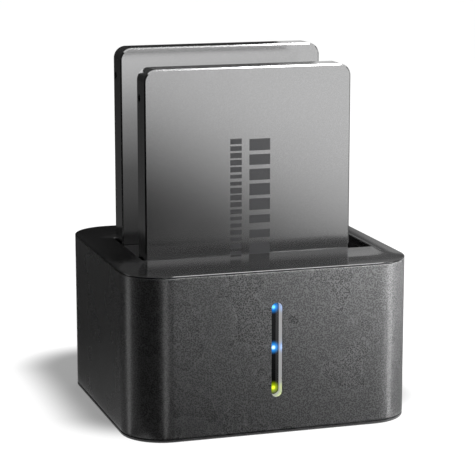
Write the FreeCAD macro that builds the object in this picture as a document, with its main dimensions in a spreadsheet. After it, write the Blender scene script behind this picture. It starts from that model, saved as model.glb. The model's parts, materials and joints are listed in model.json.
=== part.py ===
import FreeCAD, Part
import math
import os
import Sketcher

# A desktop dock that copies one 2.5 inch drive to another. Frame: origin on the floor
# under the middle of the dock, +X to the right of someone facing its front, +Y to the
# back, +Z up. Millimetres.

doc = FreeCAD.newDocument("DriveDuplicator")

# ---------------------------------------------------------------- driving dimensions
DIMENSIONS = [
    # housing
    ("body_width", 96.0), ("body_depth", 88.0), ("body_top", 54.3),
    ("corner_radius", 14.0), ("wall", 2.2), ("edge_bevel", 0.25),
    ("seam_gap", 0.2), ("seam_depth", 0.6), ("fit_gap", 0.15),
    # top bezel and the mouth of the drive well
    ("mouth_left", 37.1), ("mouth_right", 41.5), ("mouth_half", 20.6),
    ("mouth_radius", 1.5), ("lip_bevel", 0.35), ("lip_rise", 0.65), ("dish_depth", 0.45),
    ("bezel_edge", 0.42), ("bezel_bevel", 0.2), ("bezel_plate", 1.6),
    ("skirt_depth", 3.2), ("skirt_wall", 1.4),
    ("tab_width", 8.0), ("tab_x", 24.0), ("tab_depth", 0.7), ("tab_height", 1.6), ("tab_drop", 2.8),
    # base plate and feet
    ("foot_drop", 0.6), ("foot_radius", 4.5), ("foot_thick", 1.6),
    ("foot_x", 26.0), ("foot_y", 35.0),
    ("flange_thick", 0.85), ("plate_thick", 2.0), ("plate_bevel", 0.3),
    ("vent_length", 16.0), ("vent_width", 2.0), ("vent_pitch", 4.5), ("vent_count", 7.0),
    ("vent_middle", 12.8),
    ("post_x", 38.0), ("post_y", 33.0), ("post_radius", 3.3), ("post_top", 30.0),
    ("post_rib", 1.5), ("rib_start", 2.0),
    # screws: head radius, head height, shank radius
    ("base_head", 2.5), ("base_head_height", 0.9), ("base_shank", 1.05),
    ("small_head", 2.2), ("small_head_height", 1.2), ("small_shank", 0.85),
    ("lamp_head", 1.6), ("lamp_head_height", 0.9), ("lamp_shank", 0.65),
    # screw lengths, the pilot holes they cut into, and the wider holes they pass through
    ("base_length", 11.0), ("board_length", 4.6), ("well_length", 6.0), ("lamp_reach", 2.0),
    ("post_pilot", 13.0), ("lamp_pilot", 6.0), ("bezel_pilot", 5.0), ("pilot_gap", 0.05),
    ("plate_hole_gap", 0.45), ("board_hole_gap", 0.25), ("lug_hole_gap", 0.35),
    ("counterbore_gap", 0.2), ("counterbore_depth", 1.0), ("foot_gap", 0.1), ("head_sink", 0.05),
    # main board
    ("standoff_x", 29.0), ("standoff_y", 24.0), ("standoff_radius", 2.6),
    ("board_level", 6.0), ("board_thick", 1.6), ("board_width", 67.0),
    ("board_front_gap", 7.6), ("board_back_gap", 5.8), ("capacitor_radius", 2.5),
    ("capacitor_height", 5.4),
    # drives and drive well
    ("drive_width", 69.85), ("drive_length", 100.2), ("drive_thick", 9.5),
    ("drive_left", 36.525), ("drive_front", 20.04), ("bay_pitch", 30.4),
    ("drive_seat", 16.0), ("rear_step", 4.0), ("drive_corner", 4.0), ("drive_edge", 0.45),
    ("drive_wall", 1.0), ("cover_depth", 5.2), ("slot_gap", 0.55),
    ("side_hole_low", 14.0), ("side_hole_high", 90.6), ("side_hole_depth", 3.0),
    ("side_hole_radius", 1.25), ("case_screw_inset", 5.5), ("case_screw_radius", 1.6),
    ("case_screw_depth", 0.55), ("case_screw_height", 0.45), ("case_screw_gap", 0.1),
    ("drive_board_inset", 2.0), ("drive_board_share", 0.7),
    ("well_wall", 1.5), ("well_floor", 1.6), ("floor_gap", 0.5),
    ("flange_side", 2.0), ("flange_end", 2.6), ("flange_plate", 1.5),
    ("deck_level", 54.0), ("deck_right", 31.5), ("finger_floor", 24.0),
    ("lug_x", 28.0), ("lug_y", 26.0), ("lug_radius", 3.0), ("lug_top", 48.5), ("lug_thick", 2.0),
    ("boss_radius", 2.4),
    # plugs and sockets
    ("plug_offset", 4.8), ("plug_depth", 4.6), ("socket_width", 36.6),
    ("socket_thick", 5.2), ("socket_entry", 4.6), ("socket_clear", 0.5),
    ("signal_width", 10.4), ("power_width", 20.6), ("tongue_gap", 2.4),
    ("tongue_thick", 1.2), ("tongue_clear", 0.3), ("tongue_length", 4.8), ("slit_floor", 1.2),
    ("notch_side", 1.2), ("notch_clear", 1.4), ("plug_block", 2.4), ("plug_front", 2.2),
    ("plug_back", 1.9), ("contact_start", 0.4), ("riser_border", 1.2),
    ("contact_pitch", 1.27), ("contact_width", 0.7), ("contact_thick", 0.12),
    # indicator
    ("slot_width", 3.6), ("slot_height", 31.0), ("slot_level", 28.15),
    ("slot_recess", 3.5), ("slot_lip", 0.35), ("liner_wall", 0.3), ("liner_flange", 0.7),
    ("lens_border", 0.95), ("lens_thick", 1.2),
    ("lamp_pitch", 13.3), ("lamp_height", 1.1), ("lamp_width", 3.0), ("lamp_length", 2.6),
    ("lamp_board_width", 14.0), ("lamp_board_thick", 1.0), ("lamp_boss", 1.8),
    ("lamp_screw_gap", 0.7), ("header_gap", 0.6), ("header_side", 2.5), ("header_inset", 0.4),
    # back panel and what shows in it
    ("panel_half", 33.0), ("panel_bottom", 5.6), ("panel_top", 22.4), ("panel_recess", 2.4),
    ("usb_x", 8.0), ("usb_width", 8.94), ("usb_height", 3.26), ("usb_length", 7.35),
    ("usb_wall", 0.3), ("usb_back", 1.2), ("usb_tongue_width", 6.7), ("usb_tongue_thick", 0.7),
    ("usb_inset", 0.2), ("usb_tongue_inset", 0.9),
    ("jack_x", 9.0), ("jack_width", 9.0), ("jack_height", 11.0), ("jack_length", 13.0),
    ("jack_bore", 3.15), ("jack_bore_depth", 10.0), ("jack_nose", 0.7), ("jack_pin", 1.0),
    ("jack_pin_length", 8.5), ("jack_gap", 0.1),
    ("switch_x", 25.0), ("switch_width", 9.4), ("switch_height", 13.4),
    ("switch_length", 11.0), ("switch_wall", 1.1), ("switch_flange", 0.8), ("switch_border", 0.9),
    ("rocker_radius", 5.3), ("rocker_angle", 9.0), ("rocker_pin", 0.75), ("rocker_pin_clear", 0.06),
    ("pivot_depth", 3.4), ("rocker_valley", 0.9), ("rocker_heel", 3.29), ("pin_inset", 0.3),
    ("button_x", 25.0), ("button_level", 12.6), ("button_radius", 3.0), ("button_stem", 1.5),
    ("button_collar", 0.9), ("button_stand", 1.4), ("button_travel", 0.8), ("running_gap", 0.3),
    ("collar_thick", 0.9), ("collar_gap", 1.1),
    ("key_width", 7.2), ("key_height", 8.0), ("key_length", 6.0), ("key_gap", 3.0),
    ("key_floor", 1.2),
]

OVER = 1.0   # how far a cutting tool runs past the face it opens
ROOT = 0.5   # how far a boss, rib or tab runs into the wall it grows from


class Size:
    """A length kept both as a number and as the sheet expression that gives it."""

    def __init__(self, text, value):
        self.text = text
        self.value = value

    def __add__(self, other):
        other = as_size(other)
        return Size(f"({self.text} + {other.text})", self.value + other.value)

    def __radd__(self, other):
        return as_size(other) + self

    def __sub__(self, other):
        other = as_size(other)
        return Size(f"({self.text} - {other.text})", self.value - other.value)

    def __rsub__(self, other):
        return as_size(other) - self

    def __mul__(self, factor):
        factor = as_size(factor)
        return Size(f"({self.text} * {factor.text})", self.value * factor.value)

    def __rmul__(self, factor):
        return self * factor

    def __neg__(self):
        return as_size(0) - self


def as_size(value):
    """Turn a plain number into a Size."""
    if isinstance(value, Size):
        return value
    return Size(f"({value})", float(value))


class Dimensions:
    """The sheet's cells by name, each one a Size."""


def make_sheet():
    """Write the driving dimensions into the spreadsheet, one named cell each."""
    sheet = doc.addObject("Spreadsheet::Sheet", "Sizes")
    cells = Dimensions()
    for row, (name, value) in enumerate(DIMENSIONS, start=1):
        sheet.set(f"A{row}", name)
        sheet.set(f"B{row}", str(value))
        sheet.setAlias(f"B{row}", name)
        setattr(cells, name, Size(f"Sizes.{name}", value))
    doc.recompute()
    return cells


s = make_sheet()

# ---------------------------------------------------------------- helpers for pieces
NODES = []


def node(name, piece):
    """Register a finished piece under the name that its file gets."""
    piece.Label = name
    NODES.append(piece)
    return piece


def bind(item, property_name, size):
    """Tie one property to the sheet."""
    item.setExpression(property_name, as_size(size).text)


def place(item, position, rotation=None):
    """Put an item at a position tied to the sheet."""
    point = [as_size(value) for value in position]
    item.Placement = FreeCAD.Placement(
        FreeCAD.Vector(*[value.value for value in point]), rotation or FreeCAD.Rotation())
    for letter, value in zip("xyz", point):
        bind(item, f"Placement.Base.{letter}", value)


def box(name, low, high):
    """A block between two corners."""
    solid = doc.addObject("Part::Box", name)
    for property_name, start, end in zip(("Length", "Width", "Height"), low, high):
        bind(solid, property_name, as_size(end) - start)
    place(solid, low)
    return solid


TURN = {
    "z": FreeCAD.Rotation(),
    "y": FreeCAD.Rotation(FreeCAD.Vector(1, 0, 0), -90),
    "x": FreeCAD.Rotation(FreeCAD.Vector(0, 1, 0), 90),
}


def cylinder(name, start, radius, length, axis="z"):
    """A round bar from a start point along +X, +Y or +Z."""
    solid = doc.addObject("Part::Cylinder", name)
    bind(solid, "Radius", radius)
    bind(solid, "Height", length)
    place(solid, start, TURN[axis])
    return solid


def fuse(name, pieces):
    """Join pieces into one solid."""
    joined = doc.addObject("Part::MultiFuse", name)
    joined.Shapes = pieces
    joined.Refine = True
    return joined


def cut(name, base, tools):
    """Take one or more tools away from a base."""
    removed = doc.addObject("Part::Cut", name)
    removed.Base = base
    removed.Tool = tools[0] if len(tools) == 1 else fuse(name + "_tools", tools)
    removed.Refine = True
    return removed


def group(name, pieces):
    """Separate solids kept together as one set of like parts."""
    together = doc.addObject("Part::Compound", name)
    together.Links = pieces
    return together


def capsule(name, level, width, height, start_y, length, x=0):
    """An upright slot shape with round ends, drawn in XZ and extruded along +Y."""
    radius = width * 0.5
    low = as_size(level) - height * 0.5 + radius
    high = as_size(level) + height * 0.5 - radius
    middle = box(name + "_middle", (x - radius, start_y, low), (x + radius, start_y + length, high))
    ends = [cylinder(f"{name}_end{i}", (x, start_y, z), radius, length, "y")
            for i, z in enumerate((low, high))]
    return fuse(name, [middle] + ends)


def origin_plane(body, role):
    """The body's own base plane of that role."""
    return [item for item in body.Origin.OriginFeatures if item.Role == role][0]


def new_sketch(body, name, role, offset=0):
    """A sketch on one of the body's own planes, moved along its normal."""
    sketch = body.newObject("Sketcher::SketchObject", name)
    sketch.AttachmentSupport = [(origin_plane(body, role), "")]
    sketch.MapMode = "FlatFace"
    bind(sketch, "AttachmentOffset.Base.z", offset)
    return sketch


def constrain(sketch, kind, *terms, name=None):
    """Add a constraint; the last term of a dimension is a Size tied to the sheet."""
    if name is None:
        sketch.addConstraint(Sketcher.Constraint(kind, *terms))
        return
    size = as_size(terms[-1])
    index = sketch.addConstraint(Sketcher.Constraint(kind, *terms[:-1], size.value))
    sketch.renameConstraint(index, name)
    sketch.setExpression(f"Constraints.{name}", size.text)


def rounded_rectangle(sketch, left, right, low, high, radius):
    """A rectangle with four equal round corners."""
    left, right, low, high = as_size(left), as_size(right), as_size(low), as_size(high)
    x0, x1, y0, y1, r = left.value, right.value, low.value, high.value, as_size(radius).value
    corners = [(x1 - r, y0 + r, -90), (x1 - r, y1 - r, 0), (x0 + r, y1 - r, 90), (x0 + r, y0 + r, 180)]
    sides = [((x0 + r, y0), (x1 - r, y0)), ((x1, y0 + r), (x1, y1 - r)),
             ((x1 - r, y1), (x0 + r, y1)), ((x0, y1 - r), (x0, y0 + r))]
    up = FreeCAD.Vector(0, 0, 1)
    lines = [sketch.addGeometry(Part.LineSegment(FreeCAD.Vector(*a, 0), FreeCAD.Vector(*b, 0)))
             for a, b in sides]
    arcs = []
    for x, y, angle in corners:
        circle = Part.Circle(FreeCAD.Vector(x, y, 0), up, r)
        arcs.append(sketch.addGeometry(
            Part.ArcOfCircle(circle, math.radians(angle), math.radians(angle + 90))))
    for i in range(4):
        constrain(sketch, "Tangent", lines[i], 2, arcs[i], 1)
        constrain(sketch, "Tangent", arcs[i], 2, lines[(i + 1) % 4], 1)
        constrain(sketch, "Horizontal" if i % 2 == 0 else "Vertical", lines[i])
        if i:
            constrain(sketch, "Equal", arcs[0], arcs[i])
    constrain(sketch, "Radius", arcs[0], radius, name="corner")
    constrain(sketch, "DistanceX", lines[3], 1, lines[1], 1, right - left, name="width")
    constrain(sketch, "DistanceY", lines[0], 1, lines[2], 1, high - low, name="height")
    constrain(sketch, "DistanceX", -1, 1, lines[1], 1, right, name="right")
    constrain(sketch, "DistanceY", -1, 1, lines[2], 1, high, name="top")


def rectangle(sketch, left, right, low, high):
    """A rectangle with square corners."""
    left, right, low, high = as_size(left), as_size(right), as_size(low), as_size(high)
    points = [FreeCAD.Vector(x.value, y.value, 0)
              for x, y in ((left, low), (right, low), (right, high), (left, high))]
    lines = [sketch.addGeometry(Part.LineSegment(points[i], points[(i + 1) % 4])) for i in range(4)]
    for i in range(4):
        constrain(sketch, "Coincident", lines[i], 2, lines[(i + 1) % 4], 1)
        constrain(sketch, "Horizontal" if i % 2 == 0 else "Vertical", lines[i])
    constrain(sketch, "DistanceX", -1, 1, lines[0], 1, left, name="left")
    constrain(sketch, "DistanceX", -1, 1, lines[0], 2, right, name="right")
    constrain(sketch, "DistanceY", -1, 1, lines[0], 1, low, name="low")
    constrain(sketch, "DistanceY", -1, 1, lines[1], 2, high, name="high")


def outline(sketch, inset):
    """The housing's plan outline, set in by the same amount all round."""
    half_width = s.body_width * 0.5 - inset
    half_depth = s.body_depth * 0.5 - inset
    rounded_rectangle(sketch, -half_width, half_width, -half_depth, half_depth, s.corner_radius - inset)


def pad(body, sketch, name, length):
    """Extrude a sketch along its normal."""
    feature = body.newObject("PartDesign::Pad", name)
    feature.Profile = sketch
    bind(feature, "Length", length)
    return feature


def pocket(body, sketch, name, length, along_normal=True):
    """Cut a sketch out of the body, along the sketch's normal or against it."""
    feature = body.newObject("PartDesign::Pocket", name)
    feature.Profile = sketch
    bind(feature, "Length", length)
    feature.Reversed = along_normal
    return feature


def slab(body, name, inset, level, height):
    """A pad of the housing outline at a level."""
    sketch = new_sketch(body, name + "_sketch", "XY_Plane", level)
    outline(sketch, inset)
    return pad(body, sketch, name, height)


def outer_edges_at(feature, level):
    """Names of the flat edges at a level that run round the housing's outside."""
    doc.recompute()
    names = []
    for index, edge in enumerate(feature.Shape.Edges, start=1):
        bounds = edge.BoundBox
        flat = abs(bounds.ZMin - level) < 0.01 and abs(bounds.ZMax - level) < 0.01
        reach_x = max(abs(bounds.XMin), abs(bounds.XMax)) - s.body_width.value / 2
        reach_y = max(abs(bounds.YMin), abs(bounds.YMax)) - s.body_depth.value / 2
        if flat and max(reach_x, reach_y) > -0.01:
            names.append(f"Edge{index}")
    return names


def chamfer(body, feature, name, edges, size):
    """Bevel the named edges of a feature."""
    bevel = body.newObject("PartDesign::Chamfer", name)
    bevel.Base = (feature, edges)
    bind(bevel, "Size", size)
    return bevel


def corners(x, y):
    """The four points at plus and minus x and y."""
    return [(x * i, y * j) for i in (1, -1) for j in (1, -1)]


def diagonal(x, y):
    """Two of those points, at opposite corners."""
    return [(x, -y), (-x, y)]


def ordered(first, second):
    """Two Sizes, the smaller first."""
    return sorted((first, second), key=lambda size: size.value)


def sign(size):
    """Plus or minus one."""
    return 1 if size.value > 0 else -1


# ---------------------------------------------------------------- shared levels
plate_bottom = s.foot_drop
shell_bottom = plate_bottom + s.flange_thick
plate_top = plate_bottom + s.plate_thick
shell_top = s.body_top - s.bezel_edge
bezel_under = shell_top - s.bezel_plate
board_top = s.board_level + s.board_thick
board_front = s.board_front_gap - s.body_depth * 0.5
board_back = s.body_depth * 0.5 - s.board_back_gap
front_face = s.body_depth * -0.5
inner_front = front_face + s.wall
back_face = s.body_depth * 0.5
panel_face = back_face - s.panel_recess
panel_inner = panel_face - s.wall
drive_right = s.drive_width - s.drive_left
tab_low = bezel_under - s.tab_drop
jack_level = board_top + s.jack_height * 0.5
pivot_y = panel_face + s.switch_flange - s.pivot_depth
pivot_z = board_top + s.switch_height * 0.5
plug_x = s.drive_width * 0.5 - s.drive_left - s.plug_offset


# ---------------------------------------------------------------- housing
def make_outer_shell():
    """One moulding round the four sides, open above and below."""
    body = doc.addObject("PartDesign::Body", "ShellBody")
    side_low = shell_bottom + s.seam_gap
    side_high = shell_top - s.seam_gap
    slab(body, "shell_foot", s.seam_depth, shell_bottom, s.seam_gap)
    slab(body, "shell_side", 0, side_low, side_high - side_low)
    slab(body, "shell_land", s.seam_depth, side_high, s.seam_gap)
    hollow = new_sketch(body, "shell_hollow_sketch", "XY_Plane", shell_bottom)
    outline(hollow, s.wall)
    inside = pocket(body, hollow, "shell_hollow", shell_top - shell_bottom)
    rims = outer_edges_at(inside, side_high.value) + outer_edges_at(inside, side_low.value)
    chamfer(body, inside, "shell_bevel", rims, s.edge_bevel)

    panel = box("panel_block", (-s.panel_half - ROOT, panel_inner, plate_top + s.fit_gap),
                (s.panel_half + ROOT, back_face - ROOT, s.panel_top + s.wall))
    bosses = [cylinder(f"lamp_boss{i}", (0, inner_front - ROOT, z), s.lamp_boss,
                       lamp_board_front() - inner_front + ROOT, "y")
              for i, z in enumerate(lamp_screw_levels())]
    solid = fuse("shell_solid", [body, panel] + corner_posts() + bosses)

    pocket_gap = s.tab_depth + s.fit_gap
    tools = [
        capsule("slot_cut", s.slot_level, s.slot_width, s.slot_height, front_face - OVER, s.wall + 2 * OVER),
        capsule("liner_seat", s.slot_level, s.slot_width + 2 * s.liner_wall + s.fit_gap,
                s.slot_height + 2 * s.liner_wall + s.fit_gap, front_face + s.slot_lip, s.wall + OVER),
        box("panel_cut", (-s.panel_half, panel_face, s.panel_bottom),
            (s.panel_half, back_face + OVER, s.panel_top)),
    ]
    tools += panel_holes()
    for i, (x, y) in enumerate(corners(s.post_x, s.post_y)):
        tools.append(cylinder(f"post_pilot{i}", (x, y, plate_top - OVER), s.base_shank + s.pilot_gap,
                              s.post_pilot))
    for i, z in enumerate(lamp_screw_levels()):
        tools.append(cylinder(f"lamp_pilot{i}", (0, inner_front - ROOT, z), s.lamp_shank + s.pilot_gap,
                              s.lamp_pilot, "y"))
    for i, (x, y) in enumerate(corners(s.tab_x, s.body_depth * 0.5 - s.wall)):
        tools.append(box(f"tab_pocket{i}",
                         (x - s.tab_width * 0.5 - s.fit_gap, y - pocket_gap, tab_low - s.fit_gap),
                         (x + s.tab_width * 0.5 + s.fit_gap, y + pocket_gap,
                          tab_low + s.tab_height + s.fit_gap)))
    return node("outer_shell", cut("outer_shell", solid, tools))


def corner_posts():
    """Screw posts for the base plate, each tied to both walls by a rib."""
    pieces = []
    half_rib = s.post_rib * 0.5
    rib_low = plate_top + s.rib_start
    for i, (x, y) in enumerate(corners(s.post_x, s.post_y)):
        pieces.append(cylinder(f"post{i}", (x, y, plate_top), s.post_radius, s.post_top - plate_top))
        side = (s.body_width * 0.5 - s.wall + ROOT) * sign(x)
        end = (s.body_depth * 0.5 - s.wall + ROOT) * sign(y)
        near_x, far_x = ordered(x, side)
        near_y, far_y = ordered(y, end)
        pieces.append(box(f"side_rib{i}", (near_x, y - half_rib, rib_low), (far_x, y + half_rib, s.post_top)))
        pieces.append(box(f"end_rib{i}", (x - half_rib, near_y, rib_low), (x + half_rib, far_y, s.post_top)))
    return pieces


def panel_holes():
    """Cut-outs of the recessed back panel, one for each thing that shows in it."""
    start = panel_inner - OVER
    depth = s.wall + 2 * OVER
    half = s.usb_width * 0.5 + s.fit_gap
    usb = box("usb_hole", (s.usb_x - half, start, board_top - s.fit_gap),
              (s.usb_x + half, start + depth, board_top + s.usb_height + s.fit_gap))
    jack = cylinder("jack_hole", (-s.jack_x, start, jack_level), s.jack_bore + s.jack_nose + s.fit_gap,
                    depth, "y")
    half = s.switch_width * 0.5 + s.fit_gap
    switch = box("switch_hole", (-s.switch_x - half, start, board_top - s.fit_gap),
                 (-s.switch_x + half, start + depth, board_top + s.switch_height + s.fit_gap))
    button = cylinder("button_hole", (s.button_x, start, s.button_level),
                      s.button_radius + s.running_gap, depth, "y")
    return [usb, jack, switch, button]


# Section of the rim: share of the way from the outer edge to the mouth, then share of the
# dish's depth on the way down and share of the climb from the dish to the lip on the way up.
DISH = ((0.0, 0.0), (0.18, 0.6), (0.34, 0.92), (0.5, 1.0))
LIP = ((0.5, 0.0), (0.66, 0.07), (0.83, 0.42), (1.0, 1.0))


def make_top_bezel():
    """The frame that closes the top: a gently risen rim round the mouth of the well."""
    body = doc.addObject("PartDesign::Body", "BezelBody")
    inset = s.wall + s.fit_gap
    slab(body, "bezel_seat", inset, bezel_under - s.skirt_depth, s.skirt_depth + s.bezel_plate)
    slab(body, "bezel_band", 0, shell_top, s.bezel_edge)
    dish = rim_loft(body, "PartDesign::SubtractiveLoft", "bezel_dish",
                    [(share, s.body_top - s.dish_depth * part) for share, part in DISH])
    chamfer(body, dish, "bezel_edge_bevel", outer_edges_at(dish, s.body_top.value), s.bezel_bevel)
    climb = s.dish_depth + s.lip_rise
    rim_loft(body, "PartDesign::AdditiveLoft", "bezel_lip",
             [(share, s.body_top - s.dish_depth + climb * part) for share, part in LIP])
    recess = new_sketch(body, "bezel_recess_sketch", "XY_Plane", bezel_under - s.skirt_depth)
    outline(recess, inset + s.skirt_wall)
    pocket(body, recess, "bezel_recess", s.skirt_depth)
    mouth = new_sketch(body, "mouth_sketch", "XY_Plane", bezel_under - s.skirt_depth)
    rounded_rectangle(mouth, -s.mouth_left, s.mouth_right, -s.mouth_half, s.mouth_half, s.mouth_radius)
    opening = pocket(body, mouth, "mouth", s.body_top + s.lip_rise - bezel_under + s.skirt_depth + OVER)
    chamfer(body, opening, "lip", mouth_lip_edges(opening), s.lip_bevel)

    extras = []
    for i, (x, y) in enumerate(corners(s.tab_x, s.body_depth * 0.5 - inset)):
        near, far = ordered(y - ROOT * sign(y), y + s.tab_depth * sign(y))
        extras.append(box(f"snap_tab{i}", (x - s.tab_width * 0.5, near, tab_low),
                          (x + s.tab_width * 0.5, far, tab_low + s.tab_height)))
    for i, (x, y) in enumerate(corners(s.lug_x, s.lug_y)):
        extras.append(cylinder(f"bezel_boss{i}", (x, y, s.lug_top), s.boss_radius,
                               bezel_under - s.lug_top + ROOT))
    solid = fuse("bezel_solid", [body] + extras)
    pilots = [cylinder(f"bezel_pilot{i}", (x, y, s.lug_top - OVER), s.small_shank + s.pilot_gap,
                       s.bezel_pilot)
              for i, (x, y) in enumerate(corners(s.lug_x, s.lug_y))]
    return node("top_bezel", cut("top_bezel", solid, pilots))


def rim_loft(body, kind, name, steps):
    """A loft through outlines between the outer edge and the mouth, one for each step's level."""
    ledge = s.bezel_bevel * 1.25
    past_lip = 0.2
    sections = []
    for i, (share, level) in enumerate(steps):
        sketch = new_sketch(body, f"{name}_outline{i}", "XY_Plane", level)
        out = 1 - share
        left = (s.body_width * 0.5 - ledge) * out + (s.mouth_left - past_lip) * share
        right = (s.body_width * 0.5 - ledge) * out + (s.mouth_right - past_lip) * share
        half = (s.body_depth * 0.5 - ledge) * out + (s.mouth_half - past_lip) * share
        radius = (s.corner_radius - ledge) * out + s.mouth_radius * share
        rounded_rectangle(sketch, -left, right, -half, half, radius)
        sections.append(sketch)
    loft = body.newObject(kind, name)
    loft.Profile = sections[0]
    loft.Sections = sections[1:]
    return loft


def mouth_lip_edges(feature):
    """Names of the top edges round the mouth."""
    doc.recompute()
    names = []
    for index, edge in enumerate(feature.Shape.Edges, start=1):
        bounds = edge.BoundBox
        inside_x = bounds.XMin > -s.mouth_left.value - 0.1 and bounds.XMax < s.mouth_right.value + 0.1
        inside_y = max(abs(bounds.YMin), abs(bounds.YMax)) < s.mouth_half.value + 0.1
        if inside_x and inside_y and bounds.ZMin > s.body_top.value:
            names.append(f"Edge{index}")
    return names


def make_base_plate():
    """The bottom cover, with vents, counterbores, foot recesses and board standoffs."""
    body = doc.addObject("PartDesign::Body", "BaseBody")
    flange = slab(body, "plate_flange", 0, plate_bottom, s.flange_thick)
    chamfer(body, flange, "plate_bevel", outer_edges_at(flange, plate_bottom.value), s.plate_bevel)
    slab(body, "plate_spigot", s.wall + s.fit_gap, shell_bottom, plate_top - shell_bottom)
    vent_row(body, "front", -1)
    vent_row(body, "back", 1)
    standoffs = [cylinder(f"standoff{i}", (x, y, plate_top - ROOT), s.standoff_radius,
                          s.board_level - plate_top + ROOT)
                 for i, (x, y) in enumerate(corners(s.standoff_x, s.standoff_y))]
    solid = fuse("plate_solid", [body] + standoffs)
    tools = []
    for i, (x, y) in enumerate(diagonal(s.standoff_x, s.standoff_y)):
        tools.append(cylinder(f"standoff_pilot{i}", (x, y, plate_top), s.small_shank + s.pilot_gap,
                              s.board_level - plate_top + OVER))
    for i, (x, y) in enumerate(corners(s.foot_x, s.foot_y)):
        tools.append(cylinder(f"foot_recess{i}", (x, y, plate_bottom - OVER), s.foot_radius + s.foot_gap,
                              s.foot_thick - s.foot_drop + OVER))
    for i, (x, y) in enumerate(corners(s.post_x, s.post_y)):
        tools.append(cylinder(f"plate_hole{i}", (x, y, plate_bottom - OVER), s.base_shank + s.plate_hole_gap,
                              s.plate_thick + 2 * OVER))
        tools.append(cylinder(f"counterbore{i}", (x, y, plate_bottom - OVER),
                              s.base_head + s.counterbore_gap, s.counterbore_depth + OVER))
    return node("base_plate", cut("base_plate", solid, tools))


def vent_row(body, tag, end):
    """One vent slot, repeated in a row along X."""
    sketch = new_sketch(body, f"vent_{tag}_sketch", "XY_Plane", plate_bottom - OVER)
    first_x = s.vent_pitch * 0.5 * (s.vent_count - 1)
    middle = s.vent_middle * end
    rectangle(sketch, first_x - s.vent_width * 0.5, first_x + s.vent_width * 0.5,
              middle - s.vent_length * 0.5, middle + s.vent_length * 0.5)
    first = pocket(body, sketch, f"vent_{tag}", s.plate_thick + 2 * OVER)
    doc.recompute()
    row = body.newObject("PartDesign::LinearPattern", f"vents_{tag}")
    row.Originals = [first]
    row.Direction = (sketch, ["H_Axis"])
    row.Reversed = True
    bind(row, "Length", s.vent_pitch * (s.vent_count - 1))
    row.Occurrences = int(s.vent_count.value)
    body.Tip = row


def make_feet():
    """Four rubber pads pressed into the base."""
    feet = [cylinder(f"foot{i}", (x, y, 0), s.foot_radius, s.foot_thick)
            for i, (x, y) in enumerate(corners(s.foot_x, s.foot_y))]
    node("rubber_feet", group("rubber_feet", feet))


def screw(name, place_under_head, head_radius, head_height, shank_radius, length, up=True):
    """A pan-head screw with a plain eight-sided shank; the place is the head's outer face."""
    x, y, level = place_under_head
    shank_low = level if up else level - length
    head_low = level if up else level - head_height
    head = cylinder(name + "_head", (x, y, head_low), head_radius, head_height)
    shank = doc.addObject("Part::Prism", name + "_shank")
    shank.Polygon = 8
    bind(shank, "Circumradius", shank_radius)
    bind(shank, "Height", length)
    place(shank, (x, y, shank_low))
    return fuse(name, [head, shank])


def make_screws():
    """Screws that hold the base, the main board and the drive well."""
    base = [screw(f"base_screw{i}", (x, y, plate_bottom + s.head_sink), s.base_head, s.base_head_height,
                  s.base_shank, s.base_length)
            for i, (x, y) in enumerate(corners(s.post_x, s.post_y))]
    node("base_screws", group("base_screws", base))
    board = [screw(f"board_screw{i}", (x, y, board_top + s.small_head_height), s.small_head,
                   s.small_head_height, s.small_shank, s.board_length, up=False)
             for i, (x, y) in enumerate(diagonal(s.standoff_x, s.standoff_y))]
    node("board_screws", group("board_screws", board))
    well = [screw(f"well_screw{i}", (x, y, s.lug_top - s.lug_thick - s.small_head_height), s.small_head,
                  s.small_head_height, s.small_shank, s.well_length)
            for i, (x, y) in enumerate(corners(s.lug_x, s.lug_y))]
    node("well_screws", group("well_screws", well))


# ---------------------------------------------------------------- drive well
def bay_front(index):
    """Front face of the drive in bay 0 or 1."""
    return s.bay_pitch * index - s.drive_front


def bay_seat(index):
    """Height of the lower end of the drive in bay 0 or 1."""
    return s.drive_seat + s.rear_step * index


def plug_y(index):
    """Middle of the plug's tongues of the drive in bay 0 or 1."""
    return bay_front(index) + s.drive_thick - s.plug_depth


def make_drive_well():
    """The moulded insert: two slots, a hollow deck between them and a finger well."""
    left = -s.mouth_left
    right = s.mouth_right
    half = s.mouth_half
    bottom = bay_seat(0) - s.floor_gap - s.well_floor
    slot_low = bay_front(0) + s.drive_thick + s.slot_gap
    slot_high = bay_front(1) - s.slot_gap
    block = box("well_block", (left - s.well_wall, -half - s.well_wall, bottom),
                (right + s.well_wall, half + s.well_wall, bezel_under))
    flange = box("well_flange", (left - s.flange_side, -half - s.flange_end, bezel_under - s.flange_plate),
                 (right + s.flange_side, half + s.flange_end, bezel_under))
    deck = box("well_deck", (left + s.fit_gap, slot_low, bezel_under - OVER),
               (s.deck_right, slot_high, s.deck_level))
    body = fuse("well_solid", [block, flange, deck] + well_lugs())
    top = s.deck_level + OVER
    under = bottom - OVER
    tools = [
        box("front_slot", (left, -half, bay_seat(0) - s.floor_gap), (right, slot_low, top)),
        box("rear_slot", (left, slot_high, bay_seat(1) - s.floor_gap), (right, half, top)),
        box("finger_well", (s.deck_right, slot_low - OVER, s.finger_floor), (right, slot_high + OVER, top)),
        box("deck_hollow", (left + s.well_wall, slot_low + s.well_wall, under),
            (s.deck_right - s.well_wall, slot_high - s.well_wall, s.deck_level - s.well_wall)),
    ]
    half_window = s.socket_width * 0.5 + s.socket_clear
    deep = s.socket_thick * 0.5 + s.socket_clear
    for i in (0, 1):
        tools.append(box(f"socket_window{i}", (plug_x - half_window, plug_y(i) - deep, under),
                         (plug_x + half_window, plug_y(i) + deep, bay_seat(i) + OVER)))
    for i, (x, y) in enumerate(corners(s.lug_x, s.lug_y)):
        tools.append(cylinder(f"lug_hole{i}", (x, y, s.lug_top - s.lug_thick - OVER),
                              s.small_shank + s.lug_hole_gap, s.lug_thick + 2 * OVER))
    return node("drive_well", cut("drive_well", body, tools))


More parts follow.
